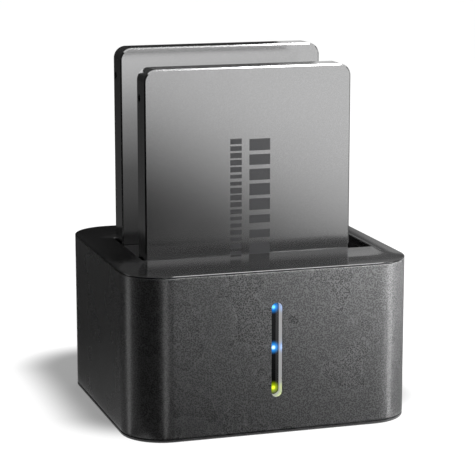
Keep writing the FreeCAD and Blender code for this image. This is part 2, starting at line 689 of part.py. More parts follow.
def well_lugs():
    """Round-ended lugs that screw up against the bezel's bosses."""
    pieces = []
    low = s.lug_top - s.lug_thick
    for i, (x, y) in enumerate(corners(s.lug_x, s.lug_y)):
        near, far = ordered((s.mouth_half + ROOT) * sign(y), y)
        pieces.append(cylinder(f"lug{i}", (x, y, low), s.lug_radius, s.lug_thick))
        pieces.append(box(f"lug_web{i}", (x - s.lug_radius, near, low), (x + s.lug_radius, far, s.lug_top)))
    return pieces


# ---------------------------------------------------------------- boards and sockets
def make_main_board():
    """The main circuit board on its four standoffs, screwed down at two of them."""
    board = box("board_blank", (s.board_width * -0.5, board_front, s.board_level),
                (s.board_width * 0.5, board_back, board_top))
    holes = [cylinder(f"board_hole{i}", (x, y, s.board_level - OVER), s.small_shank + s.board_hole_gap,
                      s.board_thick + 2 * OVER)
             for i, (x, y) in enumerate(diagonal(s.standoff_x, s.standoff_y))]
    node("main_board", cut("main_board", board, holes))


# Flat parts on the main board: left, front, width, depth and height.
BOARD_PARTS = {
    "bridge_chip": (-5.0, -5.0, 10.0, 10.0, 1.0),
    "copy_controller": (15.5, -4.5, 9.0, 9.0, 1.0),
    "memory_chip": (13.5, 25.5, 5.0, 4.0, 1.4),
    "crystal": (-14.0, -2.5, 4.0, 5.0, 1.2),
    "inductor": (-22.0, 20.0, 6.5, 6.0, 3.5),
}
CAPACITORS = ((-24.0, -26.0), (-16.0, -26.0), (16.0, -26.0))


def make_board_parts():
    """Chips, crystal, inductor and capacitors of the main board."""
    for name, (x, y, width, depth, height) in BOARD_PARTS.items():
        node(name, box(name, (x, y, board_top), (x + width, y + depth, board_top + height)))
    cans = [cylinder(f"capacitor{i}", (x, y, board_top), s.capacitor_radius, s.capacitor_height)
            for i, (x, y) in enumerate(CAPACITORS)]
    node("capacitors", group("capacitors", cans))


CONTACT_COUNTS = {"signal": 7, "power": 15}


def tongue_spans():
    """Left and right ends of the signal and power tongues, which share one line."""
    signal_left = plug_x - (s.signal_width + s.power_width + s.tongue_gap) * 0.5
    power_left = signal_left + s.signal_width + s.tongue_gap
    return {"signal": (signal_left, signal_left + s.signal_width),
            "power": (power_left, power_left + s.power_width)}


def contact_row(name, span, count, y, low, high):
    """A row of flat contacts along one tongue."""
    middle = (span[0] + span[1]) * 0.5
    half = s.contact_width * 0.5
    strips = []
    for k in range(count):
        x = middle + s.contact_pitch * (k - (count - 1) / 2)
        strips.append(box(f"{name}_{k}", (x - half, y, low), (x + half, y + s.contact_thick, high)))
    return strips


def make_socket(index, side):
    """An upright socket on the board: a block with one deep slit for each tongue."""
    base = board_top + s.rear_step * index
    floor = bay_seat(index) - s.slit_floor
    top = bay_seat(index) + s.socket_entry
    y = plug_y(index)
    half = s.socket_width * 0.5
    front = y - s.tongue_thick * 0.5 - s.tongue_clear
    back = y + s.tongue_thick * 0.5 + s.tongue_clear + 2 * s.contact_thick
    block = box(f"{side}_socket_block", (plug_x - half, y - s.socket_thick * 0.5, base),
                (plug_x + half, y + s.socket_thick * 0.5, top))
    slits = []
    springs = []
    for kind, (start, end) in tongue_spans().items():
        slits.append(box(f"{side}_{kind}_slit", (start - s.tongue_clear, front, floor),
                         (end + s.tongue_clear, back, top + OVER)))
        springs += contact_row(f"{side}_{kind}_spring", (start, end), CONTACT_COUNTS[kind],
                               back - s.contact_thick, floor, top - ROOT)
    node(f"{side}_socket", cut(f"{side}_socket", block, slits))
    node(f"{side}_socket_contacts", group(f"{side}_socket_contacts", springs))


def make_socket_riser():
    """The spacer that lifts the rear socket by the step between the bays."""
    half = s.socket_width * 0.5 + s.riser_border
    deep = s.socket_thick * 0.5 + s.riser_border
    node("rear_socket_riser", box("rear_socket_riser", (plug_x - half, plug_y(1) - deep, board_top),
                                  (plug_x + half, plug_y(1) + deep, board_top + s.rear_step)))


# ---------------------------------------------------------------- indicator
def lamp_board_front():
    """Front face of the lamp board."""
    return front_face + s.slot_recess + s.lens_thick + s.lamp_height


def lamp_screw_levels():
    """Heights of the lamp board's two screws, below and above the lens."""
    reach = s.slot_height * 0.5 + s.lens_border + s.lamp_boss + s.lamp_screw_gap
    return s.slot_level - reach, s.slot_level + reach


def lamp_levels():
    """Heights of the three lamps, from the top."""
    return [s.slot_level + s.lamp_pitch * k for k in (1, 0, -1)]


def make_indicator():
    """Bright liner, dark lens, lamps and lamp board behind the front slot."""
    liner_width = s.slot_width + 2 * s.liner_wall
    liner_height = s.slot_height + 2 * s.liner_wall
    sleeve = capsule("liner_sleeve", s.slot_level, liner_width, liner_height,
                     front_face + s.slot_lip, s.slot_recess - s.slot_lip)
    flange = capsule("liner_rim", s.slot_level, liner_width + 2 * s.liner_flange,
                     liner_height + 2 * s.liner_flange, inner_front, s.slot_recess - s.wall)
    core = capsule("liner_core", s.slot_level, s.slot_width, s.slot_height, front_face,
                   s.slot_recess + OVER)
    node("indicator_liner", cut("indicator_liner", fuse("liner_solid", [sleeve, flange]), [core]))
    lens_front = front_face + s.slot_recess
    node("indicator_lens", capsule("indicator_lens", s.slot_level, s.slot_width + 2 * s.lens_border,
                                   s.slot_height + 2 * s.lens_border, lens_front, s.lens_thick))
    back = lens_front + s.lens_thick
    lamps = [box(f"lamp{i}", (s.lamp_width * -0.5, back, z - s.lamp_length * 0.5),
                 (s.lamp_width * 0.5, back + s.lamp_height, z + s.lamp_length * 0.5))
             for i, z in enumerate(lamp_levels())]
    node("status_lamps", group("status_lamps", lamps[:2]))
    node("power_lamp", lamps[2])
    make_lamp_board()


def make_lamp_board():
    """The upright board that carries the lamps, its two screws and its plug."""
    low, high = lamp_screw_levels()
    front = lamp_board_front()
    back = front + s.lamp_board_thick
    half = s.lamp_board_width * 0.5
    board = box("lamp_board_blank", (-half, front, low - s.lamp_boss), (half, back, high + s.lamp_boss))
    holes = []
    screws = []
    for i, z in enumerate((low, high)):
        holes.append(cylinder(f"lamp_board_hole{i}", (0, front - OVER, z), s.lamp_shank + s.board_hole_gap,
                              s.lamp_board_thick + 2 * OVER, "y"))
        head = cylinder(f"lamp_screw_head{i}", (0, back, z), s.lamp_head, s.lamp_head_height, "y")
        shank = cylinder(f"lamp_screw_shank{i}", (0, front - s.lamp_reach, z), s.lamp_shank,
                         s.lamp_board_thick + s.lamp_head_height + s.lamp_reach, "y")
        screws.append(fuse(f"lamp_screw{i}", [head, shank]))
    node("lamp_board", cut("lamp_board", board, holes))
    node("lamp_screws", group("lamp_screws", screws))
    node("lamp_header", box("lamp_header", (s.lamp_head + s.header_gap, back, board_top),
                            (half - s.header_inset, back + s.header_side, board_top + s.header_side)))


# ---------------------------------------------------------------- back panel parts
def flat_tube(name, radius, reach, start, length, level):
    """A lying bar with round sides, about the data port's axis."""
    ends = [cylinder(f"{name}_side{i}", (s.usb_x + reach * side, start, level), radius, length, "y")
            for i, side in enumerate((-1, 1))]
    web = box(name + "_web", (s.usb_x - reach, start, level - radius),
              (s.usb_x + reach, start + length, level + radius))
    return fuse(name, ends + [web])


def make_usb_port():
    """Folded steel shell of the data port with its tongue inside."""
    mouth = panel_face - s.usb_inset
    start = mouth - s.usb_length
    level = board_top + s.usb_height * 0.5
    radius = s.usb_height * 0.5
    reach = (s.usb_width - s.usb_height) * 0.5
    outside = flat_tube("usb_outside", radius, reach, start, s.usb_length, level)
    inside = flat_tube("usb_inside", radius - s.usb_wall, reach, start + s.usb_back,
                       s.usb_length - s.usb_back + OVER, level)
    node("usb_shell", cut("usb_shell", outside, [inside]))
    half = s.usb_tongue_width * 0.5
    thin = s.usb_tongue_thick * 0.5
    node("usb_tongue", box("usb_tongue", (s.usb_x - half, start + s.usb_back, level - thin),
                           (s.usb_x + half, mouth - s.usb_tongue_inset, level + thin)))


def make_power_jack():
    """Barrel socket: a moulded block with a deep bore and a centre pin."""
    mouth = panel_face - s.jack_gap
    half = s.jack_width * 0.5
    block_front = panel_inner - s.jack_gap
    block = box("jack_block", (-s.jack_x - half, block_front - s.jack_length, board_top),
                (-s.jack_x + half, block_front, board_top + s.jack_height))
    nose = cylinder("jack_nose", (-s.jack_x, block_front - OVER, jack_level), s.jack_bore + s.jack_nose,
                    mouth - block_front + OVER, "y")
    floor = mouth - s.jack_bore_depth
    bore = cylinder("jack_bore", (-s.jack_x, floor, jack_level), s.jack_bore, s.jack_bore_depth + OVER, "y")
    node("power_jack", cut("power_jack", fuse("jack_solid", [block, nose]), [bore]))
    node("power_jack_pin", cylinder("power_jack_pin", (-s.jack_x, floor, jack_level), s.jack_pin,
                                    s.jack_pin_length, "y"))


def make_power_switch():
    """Rocker switch: a housing on the board, a pivot pin and the rocker paddle."""
    x = -s.switch_x
    half = s.switch_width * 0.5
    back = panel_face - s.switch_length
    front = panel_face + s.switch_flange
    top = board_top + s.switch_height
    block = box("switch_block", (x - half, back, board_top), (x + half, front, top))
    flange = box("switch_flange", (x - half - s.switch_border, panel_face, board_top - s.switch_border),
                 (x + half + s.switch_border, front, top + s.switch_border))
    cavity = box("switch_cavity", (x - half + s.switch_wall, back + s.switch_wall, board_top + s.switch_wall),
                 (x + half - s.switch_wall, front + OVER, top - s.switch_wall))
    pin_end = half - s.pin_inset
    pin_hole = cylinder("switch_pin_hole", (x - pin_end, pivot_y, pivot_z), s.rocker_pin, 2 * pin_end, "x")
    node("switch_housing", cut("switch_housing", fuse("switch_solid", [block, flange]), [cavity, pin_hole]))
    pin = cylinder("switch_pin", (x - pin_end, pivot_y, pivot_z), s.rocker_pin, 2 * pin_end, "x")
    node("switch_pin", pin)

    rocker_half = half - s.switch_wall - s.running_gap
    body = doc.addObject("PartDesign::Body", "RockerBody")
    sketch = new_sketch(body, "rocker_sketch", "YZ_Plane", x - rocker_half)
    rocker_profile(sketch)
    pad(body, sketch, "rocker_pad", rocker_half * 2)
    bore = cylinder("rocker_bore", (x - half, pivot_y, pivot_z), s.rocker_pin + s.rocker_pin_clear,
                    s.switch_width, "x")
    node("power_rocker", cut("power_rocker", body, [bore]))


def rocker_profile(sketch):
    """The rocker's side view: a shallow V outside, narrowing to a heel behind the pivot."""
    lean = math.radians(s.rocker_angle.value)

    def point(degrees, distance):
        """A point about the pivot; angle 0 looks straight out of the panel."""
        turned = math.radians(degrees) - lean
        return FreeCAD.Vector(pivot_y.value + distance * math.cos(turned),
                              pivot_z.value + distance * math.sin(turned), 0)

    tip, heel = 52, 115
    path = [point(-tip, s.rocker_radius.value), point(0, s.pivot_depth.value - s.rocker_valley.value),
            point(tip, s.rocker_radius.value), point(heel, s.rocker_heel.value),
            point(-heel, s.rocker_heel.value)]
    for start, end in zip(path, path[1:] + path[:1]):
        constrain(sketch, "Block", sketch.addGeometry(Part.LineSegment(start, end)))


def make_copy_button():
    """The start button and the push switch it works."""
    x = s.button_x
    half = s.key_width * 0.5
    key_front = panel_inner - s.key_gap
    key_back = key_front - s.key_length
    housing = box("copy_switch_body", (x - half, key_back, board_top),
                  (x + half, key_front, board_top + s.key_height))
    stem_back = key_back + s.key_floor + 2 * s.button_travel
    well = cylinder("copy_switch_well", (x, stem_back - s.button_travel - s.running_gap, s.button_level),
                    s.button_stem + s.running_gap, s.key_length, "y")
    node("copy_switch", cut("copy_switch", housing, [well]))
    cap_back = panel_inner - s.button_travel - s.collar_gap
    stem = cylinder("copy_stem", (x, stem_back, s.button_level), s.button_stem,
                    cap_back - stem_back + ROOT, "y")
    collar = cylinder("copy_collar", (x, cap_back, s.button_level), s.button_radius + s.button_collar,
                      s.collar_thick, "y")
    cap = cylinder("copy_cap", (x, cap_back, s.button_level), s.button_radius,
                   panel_face + s.button_stand - cap_back, "y")
    node("copy_button", fuse("copy_button", [stem, collar, cap]))


# ---------------------------------------------------------------- drives
def drive_half(name, low_y, depth, seat, closed_in_front):
    """One half of a drive's case: a rounded tray with its open side inwards."""
    body = doc.addObject("PartDesign::Body", name + "_body")
    left = -s.drive_left
    top = seat + s.drive_length
    sketch = new_sketch(body, name + "_sketch", "XZ_Plane", -low_y)
    rounded_rectangle(sketch, left, drive_right, seat, top, s.drive_corner)
    solid = pad(body, sketch, name + "_pad", depth)
    solid.Reversed = True
    hollow_start = low_y + s.drive_wall if closed_in_front else low_y
    hollow = new_sketch(body, name + "_hollow_sketch", "XZ_Plane", -hollow_start)
    rounded_rectangle(hollow, left + s.drive_wall, drive_right - s.drive_wall, seat + s.drive_wall,
                      top - s.drive_wall, s.drive_corner - s.drive_wall)
    inside = pocket(body, hollow, name + "_hollow", depth - s.drive_wall, along_normal=False)
    doc.recompute()
    face_y = low_y.value if closed_in_front else (low_y + depth).value
    edges = [f"Edge{i}" for i, edge in enumerate(inside.Shape.Edges, start=1)
             if abs(edge.BoundBox.YMin - face_y) < 0.01 and abs(edge.BoundBox.YMax - face_y) < 0.01]
    chamfer(body, inside, name + "_edge", edges, s.drive_edge)
    return body


def make_drive_case(index, side, notch):
    """The cover and the tray of a drive, with plug notch, side holes and case screws."""
    front = bay_front(index)
    seat = bay_seat(index)
    back = front + s.drive_thick
    split = front + s.cover_depth
    cover = drive_half(f"{side}_cover", front, s.cover_depth, seat, True)
    node(f"{side}_drive_cover", cut(f"{side}_drive_cover", cover, [box(f"{side}_cover_notch", *notch)]))
    tray = drive_half(f"{side}_tray", split, s.drive_thick - s.cover_depth, seat, False)
    tools = [box(f"{side}_tray_notch", *notch)]
    hole_depth = 2 * s.drive_wall
    for i, x in enumerate((-s.drive_left - s.drive_wall, drive_right - s.drive_wall)):
        for k, z in enumerate((s.side_hole_low, s.side_hole_high)):
            tools.append(cylinder(f"{side}_side_hole{i}{k}", (x, back - s.side_hole_depth, seat + z),
                                  s.side_hole_radius, hole_depth, "x"))
    screws = []
    inset = s.case_screw_inset
    screw_back = back - s.case_screw_depth
    for i, x in enumerate((inset - s.drive_left, drive_right - inset)):
        for k, z in enumerate((seat + inset, seat + s.drive_length - inset)):
            tools.append(cylinder(f"{side}_screw_seat{i}{k}", (x, screw_back, z),
                                  s.case_screw_radius + s.case_screw_gap, OVER, "y"))
            screws.append(cylinder(f"{side}_case_screw{i}{k}", (x, screw_back, z), s.case_screw_radius,
                                   s.case_screw_height, "y"))
    node(f"{side}_drive_tray", cut(f"{side}_drive_tray", tray, tools))
    node(f"{side}_drive_screws", group(f"{side}_drive_screws", screws))


def make_drive(index, side):
    """A 2.5 inch drive: cover, tray, case screws, circuit board, plug and contacts."""
    seat = bay_seat(index)
    y = plug_y(index)
    half = s.socket_width * 0.5 + s.notch_side
    deep = s.socket_thick * 0.5 + s.socket_clear
    notch_top = seat + s.socket_entry + s.notch_clear
    notch_low = (plug_x - half, y - deep, seat - OVER)
    make_drive_case(index, side, (notch_low, (plug_x + half, y + deep, notch_top)))
    holder_top = notch_top + s.plug_block
    rear = y + s.tongue_thick * 0.5
    board = box(f"{side}_drive_board", (s.drive_board_inset - s.drive_left, rear, holder_top),
                (drive_right - s.drive_board_inset, rear + s.drive_wall,
                 seat + s.drive_length * s.drive_board_share))
    node(f"{side}_drive_board", board)
    blocks = [box(f"{side}_plug_block", (plug_x - half + s.tongue_clear, y - s.plug_front, notch_top),
                  (plug_x + half - s.tongue_clear, y + s.plug_back, holder_top))]
    contacts = []
    tip = notch_top - s.tongue_length
    for kind, (start, end) in tongue_spans().items():
        blocks.append(box(f"{side}_{kind}_tongue", (start, y - s.tongue_thick * 0.5, tip),
                          (end, rear, notch_top + ROOT)))
        contacts += contact_row(f"{side}_{kind}_contact", (start, end), CONTACT_COUNTS[kind], rear,
                                tip + s.contact_start, notch_top)
    node(f"{side}_drive_plug", fuse(f"{side}_drive_plug", blocks))
    node(f"{side}_drive_contacts", group(f"{side}_drive_contacts", contacts))


# ---------------------------------------------------------------- build, check, write
def check(piece):
    """Stop on a shape that isn't sound."""
    shape = piece.Shape
    if shape.isNull() or not shape.isValid() or not shape.Solids:
        raise RuntimeError(f"{piece.Label} has no sound shape")


def main():
    """Build every piece, check the whole document and write one file for each node."""
    make_outer_shell()
    make_top_bezel()
    make_base_plate()
    make_feet()
    make_screws()
    make_drive_well()
    make_main_board()
    make_board_parts()
    make_socket(0, "front")
    make_socket(1, "rear")
    make_socket_riser()
    make_indicator()
    make_usb_port()
    make_power_jack()
    make_power_switch()
    make_copy_button()
    make_drive(0, "front")
    make_drive(1, "rear")
    doc.recompute()
    failed = [item.Name for item in doc.Objects if "Invalid" in item.State or "Error" in item.State]
    if failed:
        raise RuntimeError("failed objects: " + ", ".join(failed))
    os.makedirs("parts", exist_ok=True)
    for piece in NODES:
        check(piece)
        piece.Shape.exportStep(f"parts/{piece.Label}.step")
        size = piece.Shape.BoundBox
        print(f"{piece.Label}: {len(piece.Shape.Solids)} solids, {piece.Shape.Volume:.1f} mm3, "
              f"{size.XLength:.2f} x {size.YLength:.2f} x {size.ZLength:.2f}")


main()
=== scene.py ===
import json
import math
import bmesh
import bpy
from mathutils import Matrix, Vector


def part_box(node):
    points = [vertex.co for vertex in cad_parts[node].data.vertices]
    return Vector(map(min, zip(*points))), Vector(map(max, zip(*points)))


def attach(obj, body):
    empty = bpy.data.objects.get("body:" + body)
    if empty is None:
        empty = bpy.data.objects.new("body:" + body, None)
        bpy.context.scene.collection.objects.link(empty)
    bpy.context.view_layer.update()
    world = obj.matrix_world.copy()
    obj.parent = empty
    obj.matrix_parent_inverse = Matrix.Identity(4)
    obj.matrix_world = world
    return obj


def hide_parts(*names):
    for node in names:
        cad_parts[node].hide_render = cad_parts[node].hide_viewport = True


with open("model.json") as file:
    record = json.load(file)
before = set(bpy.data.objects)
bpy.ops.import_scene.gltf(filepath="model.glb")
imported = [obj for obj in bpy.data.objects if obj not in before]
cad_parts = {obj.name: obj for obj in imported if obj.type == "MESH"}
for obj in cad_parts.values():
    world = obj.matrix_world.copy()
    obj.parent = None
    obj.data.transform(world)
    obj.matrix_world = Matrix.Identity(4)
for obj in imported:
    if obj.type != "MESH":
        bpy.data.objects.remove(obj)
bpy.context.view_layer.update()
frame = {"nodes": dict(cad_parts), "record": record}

# ------------------------------------------------------------------ base plate
# The bottom cover is one injection moulding of black ABS with two rows of vents,
# screwed up into the corner posts. It has a plain fine spark texture.


def new_material(name, color, roughness, metallic=0.0):
    """A material, its node tree and its Principled shader."""
    material = bpy.data.materials.new(name)
    material.use_nodes = True
    shader = material.node_tree.nodes["Principled BSDF"]
    shader.inputs["Base Color"].default_value = (*color, 1)
    shader.inputs["Roughness"].default_value = roughness
    shader.inputs["Metallic"].default_value = metallic
    return material, material.node_tree, shader


def add(tree, kind, **settings):
    """A new node with some of its properties set."""
    item = tree.nodes.new(kind)
    for key, value in settings.items():
        setattr(item, key, value)
    return item


def ease(tree, value, span, levels, curve="SMOOTHSTEP"):
    """A value that runs from one level to another while another value crosses a span."""
    item = add(tree, "ShaderNodeMapRange", interpolation_type=curve)
    for label, number in zip(("From Min", "From Max", "To Min", "To Max"), (*span, *levels)):
        item.inputs[label].default_value = number
    tree.links.new(value, item.inputs["Value"])
    return item.outputs["Result"]


def clouds(tree, scale, detail):
    """Soft noise on the piece's own coordinates."""
    place = add(tree, "ShaderNodeTexCoord")
    item = add(tree, "ShaderNodeTexNoise")
    item.inputs["Scale"].default_value = scale
    item.inputs["Detail"].default_value = detail
    tree.links.new(place.outputs["Object"], item.inputs["Vector"])
    return item


def blend_color(tree, shader, mask, low, high):
    """A base colour that follows a mask from one colour to another."""
    mix = add(tree, "ShaderNodeMix", data_type="RGBA")
    mix.inputs["A"].default_value = (*low, 1)
    mix.inputs["B"].default_value = (*high, 1)
    tree.links.new(mask, mix.inputs["Factor"])
    tree.links.new(mix.outputs["Result"], shader.inputs["Base Color"])


def vary_roughness(tree, shader, mask, low, high):
    """A roughness that follows a mask."""
    tree.links.new(ease(tree, mask, (0.0, 1.0), (low, high), "LINEAR"), shader.inputs["Roughness"])


def emboss(tree, shader, height, depth):
    """Relief of a given depth in metres."""
    bump = add(tree, "ShaderNodeBump")
    bump.inputs["Distance"].default_value = depth
    tree.links.new(height, bump.inputs["Height"])
    tree.links.new(bump.outputs["Normal"], shader.inputs["Normal"])


def effect_group(name, inputs, outputs):
    """An empty shader group with named inputs and float outputs."""
    tree = bpy.data.node_groups.new(name, "ShaderNodeTree")
    for socket, value in inputs.items():
        kind = "NodeSocketFloat" if isinstance(value, float) else "NodeSocketVector"
        tree.interface.new_socket(socket, in_out="INPUT", socket_type=kind).default_value = value
    for socket in outputs:
        tree.interface.new_socket(socket, in_out="OUTPUT", socket_type="NodeSocketFloat")
    return tree, tree.nodes.new("NodeGroupInput"), tree.nodes.new("NodeGroupOutput")


def make_grain_group():
    """Spark-eroded mould texture: close pits, facets that catch the light, and slow clouds."""
    tree, given, out = effect_group("moulded_grain", {"Size": 0.0003}, ("Height", "Facet", "Cloud"))
    place = add(tree, "ShaderNodeTexCoord")
    per_metre = add(tree, "ShaderNodeMath", operation="DIVIDE")
    per_metre.inputs[0].default_value = 1.0
    tree.links.new(given.outputs["Size"], per_metre.inputs[1])
    pits = clouds(tree, scale=1.0, detail=3.0)
    pits.inputs["Roughness"].default_value = 0.6
    tree.links.new(per_metre.outputs[0], pits.inputs["Scale"])
    tree.links.new(pits.outputs["Fac"], out.inputs["Height"])
    cells = add(tree, "ShaderNodeTexVoronoi")
    cells.inputs["Randomness"].default_value = 0.85
    tree.links.new(place.outputs["Object"], cells.inputs["Vector"])
    tree.links.new(per_metre.outputs[0], cells.inputs["Scale"])
    facet = ease(tree, cells.outputs["Distance"], (0.2, 0.75), (0.0, 1.0))
    tree.links.new(facet, out.inputs["Facet"])
    slow = clouds(tree, scale=60.0, detail=2.0)
    tree.links.new(slow.outputs["Fac"], out.inputs["Cloud"])
    return tree


grain_group = make_grain_group()


def textured_plastic(name, dark, bright, roughness, size, depth, gloss=0.5):
    """Moulded plastic with a spark texture of a given grain size and depth."""
    uneven = 0.05
    material, tree, shader = new_material(name, dark, roughness)
    shader.inputs["Specular IOR Level"].default_value = gloss
    grain = add(tree, "ShaderNodeGroup", node_tree=grain_group)
    grain.inputs["Size"].default_value = size
    blend_color(tree, shader, grain.outputs["Facet"], dark, bright)
    vary_roughness(tree, shader, grain.outputs["Cloud"], roughness - uneven, roughness + uneven)
    emboss(tree, shader, grain.outputs["Height"], depth)
    return material


def dress(material, *names):
    """Give CAD nodes a material."""
    for name in names:
        for slot in frame["nodes"][name].material_slots:
            slot.material = material


base_plastic = textured_plastic("base_plastic", dark=(0.03, 0.03, 0.031), bright=(0.06, 0.06, 0.062),
                                roughness=0.45, size=0.0004, depth=0.00002)
dress(base_plastic, "base_plate")

# ------------------------------------------------------------------ feet
# Four round moulded pads of black rubber, held in recesses of the base. Each has
# a rounded edge, a shallow dish underneath and a grip ring in the dish.


def turned(name, profile, sides, closed=False):
    """A shape turned about Z. The profile goes from axis to axis, or round a ring if closed."""
    shape = bmesh.new()
    rings = []
    for radius, height in profile:
        if radius == 0:
            rings.append([shape.verts.new((0, 0, height))])
            continue
        ring = []
        for i in range(sides):
            angle = 2 * math.pi * i / sides
            ring.append(shape.verts.new((radius * math.cos(angle), radius * math.sin(angle), height)))
        rings.append(ring)
    follow = rings[1:] + rings[:1] if closed else rings[1:]
    for low, high in zip(rings, follow):
        for i in range(sides):
            j = (i + 1) % sides
            corners = [low[i % len(low)], low[j % len(low)], high[j % len(high)], high[i % len(high)]]
            shape.faces.new(list(dict.fromkeys(corners)))
    bmesh.ops.recalc_face_normals(shape, faces=shape.faces)
    return finished_mesh(name, shape)


def finished_mesh(name, shape):
    """The mesh of a bmesh, which is then freed."""
    mesh = bpy.data.meshes.new(name)
    shape.to_mesh(mesh)
    shape.free()
    return mesh


float_low, float_high, float_value = 2, 3, 1      # places of the Float sockets on a Random Value node


def geometry_tree(name, inputs):
    """A Geometry Nodes tree with named inputs, that puts out geometry."""
    tree = bpy.data.node_groups.new(name, "GeometryNodeTree")
    for label, kind in inputs:
        tree.interface.new_socket(label, in_out="INPUT", socket_type="NodeSocket" + kind)
    tree.interface.new_socket("Geometry", in_out="OUTPUT", socket_type="NodeSocketGeometry")
    return tree, tree.nodes.new("NodeGroupInput")


def close_tree(tree, given, instances):
    """Make the instances real, give them their finish and put them out."""
    real = tree.nodes.new("GeometryNodeRealizeInstances")
    tree.links.new(instances, real.inputs[0])
    finish = tree.nodes.new("GeometryNodeSetMaterial")
    tree.links.new(real.outputs[0], finish.inputs["Geometry"])
    tree.links.new(given.outputs["Finish"], finish.inputs["Material"])
    tree.links.new(finish.outputs[0], tree.nodes.new("NodeGroupOutput").inputs[0])
    return tree


def make_set_out_tree():
    """Repeats one shape at every point, turned about an axis by a seeded random angle."""
    tree, given = geometry_tree("set_out", (
        ("Geometry", "Geometry"), ("Shape", "Object"), ("Finish", "Material"), ("Axis", "Vector"),
        ("Largest Turn", "Float")))
    shape = tree.nodes.new("GeometryNodeObjectInfo")
    tree.links.new(given.outputs["Shape"], shape.inputs["Object"])
    angle = add(tree, "FunctionNodeRandomValue", data_type="FLOAT")
    angle.inputs["Seed"].default_value = 7
    tree.links.new(given.outputs["Largest Turn"], angle.inputs[float_high])
    turn = add(tree, "ShaderNodeVectorMath", operation="SCALE")
    tree.links.new(given.outputs["Axis"], turn.inputs[0])
    tree.links.new(angle.outputs[float_value], turn.inputs["Scale"])
    rotation = tree.nodes.new("FunctionNodeEulerToRotation")
    tree.links.new(turn.outputs["Vector"], rotation.inputs[0])
    repeat = tree.nodes.new("GeometryNodeInstanceOnPoints")
    tree.links.new(given.outputs["Geometry"], repeat.inputs["Points"])
    tree.links.new(shape.outputs["Geometry"], repeat.inputs["Instance"])
    tree.links.new(rotation.outputs[0], repeat.inputs["Rotation"])
    return close_tree(tree, given, repeat.outputs["Instances"])


set_out_tree = make_set_out_tree()


def new_object(name, mesh):
    """An object in the scene for a mesh."""
    item = bpy.data.objects.new(name, mesh)
    bpy.context.scene.collection.objects.link(item)
    return item


def baked(item):
    """Turn an object's modifiers into plain mesh."""
    bpy.context.view_layer.update()
    seen = item.evaluated_get(bpy.context.evaluated_depsgraph_get())
    mesh = bpy.data.meshes.new_from_object(seen)
    item.modifiers.clear()
    item.data = mesh
    return item


def grown(item, tree, values):
    """Run a Geometry Nodes tree on an object with named values, and keep the result as mesh."""
    modifier = item.modifiers.new(tree.name, "NODES")
    modifier.node_group = tree
    for socket in tree.interface.items_tree:
        if socket.name in values:
            modifier[socket.identifier] = values[socket.name]
    return baked(item)


def set_out(name, shape_mesh, places, material, axis=(0, 0, 1), largest_turn=0.0):
    """One mesh of the same shape repeated at several places."""
    points = bpy.data.meshes.new(name)
    points.from_pydata([tuple(place) for place in places], [], [])
    pattern = new_object(name + "_pattern", shape_mesh)
    holder = grown(new_object(name, points), set_out_tree, {
        "Shape": pattern, "Finish": material, "Axis": axis, "Largest Turn": largest_turn})
    bpy.data.objects.remove(pattern)
    return holder


def under_corners(node, inset):
    """Four points at a node's low face, set in from its corners."""
    low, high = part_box(node)
    return [Vector((x, y, low[2])) for x in (low[0] + inset, high[0] - inset)
            for y in (low[1] + inset, high[1] - inset)]


rubber = textured_plastic("foot_rubber_matt", dark=(0.012, 0.012, 0.012), bright=(0.03, 0.03, 0.03),
                          roughness=0.8, size=0.0005, depth=0.00004, gloss=0.25)
foot_radius, foot_height, edge_round = 0.0045, 0.0016, 0.0004
dish_radius, dish_depth, dish_taper = 0.0032, 0.0003, 0.0001
ring_radius, ring_level, ring_foot, ring_top = 0.0022, 0.0001, 0.0002, 0.0001
foot = turned("foot", [
    (0, dish_depth), (ring_radius - ring_foot, dish_depth), (ring_radius - ring_top, ring_level),
    (ring_radius + ring_top, ring_level), (ring_radius + ring_foot, dish_depth),
    (dish_radius - dish_taper, dish_depth), (dish_radius, 0.0), (foot_radius - edge_round, 0.0),
    (foot_radius - edge_round / 4, edge_round / 4), (foot_radius, edge_round), (foot_radius, foot_height),
    (0, foot_height)], sides=40)
feet = set_out("foot_pads", foot, under_corners("rubber_feet", foot_radius), rubber, largest_turn=0.5)
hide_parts("rubber_feet")
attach(feet, "root")

# ------------------------------------------------------------------ screws
# Pan-head screws of nickel-plated steel with a cross recess. Four go up through
# the base into the shell's posts, and smaller ones hold the boards and the well.


def make_marks_group():
    """Fine uneven marks that working leaves in a metal's surface."""
    tree, given, out = effect_group("working_marks", {"Per Metre": 900.0}, ("Marks",))
    marks = clouds(tree, scale=1.0, detail=4.0)
    tree.links.new(given.outputs["Per Metre"], marks.inputs["Scale"])
    tree.links.new(marks.outputs["Fac"], out.inputs["Marks"])
    return tree


marks_group = make_marks_group()


def plated_metal(name, color, roughness, streak):
    """Plated or drawn metal with fine marks and a slightly uneven gloss."""
    uneven, depth = 0.08, 0.000006
    material, tree, shader = new_material(name, color, roughness, metallic=1.0)
    worked = add(tree, "ShaderNodeGroup", node_tree=marks_group)
    worked.inputs["Per Metre"].default_value = 900.0
    marks = worked.outputs["Marks"]
    blend_color(tree, shader, marks, [part * (1 - streak) for part in color], color)
    vary_roughness(tree, shader, marks, roughness - uneven, roughness + uneven)
    emboss(tree, shader, marks, depth)
    return material


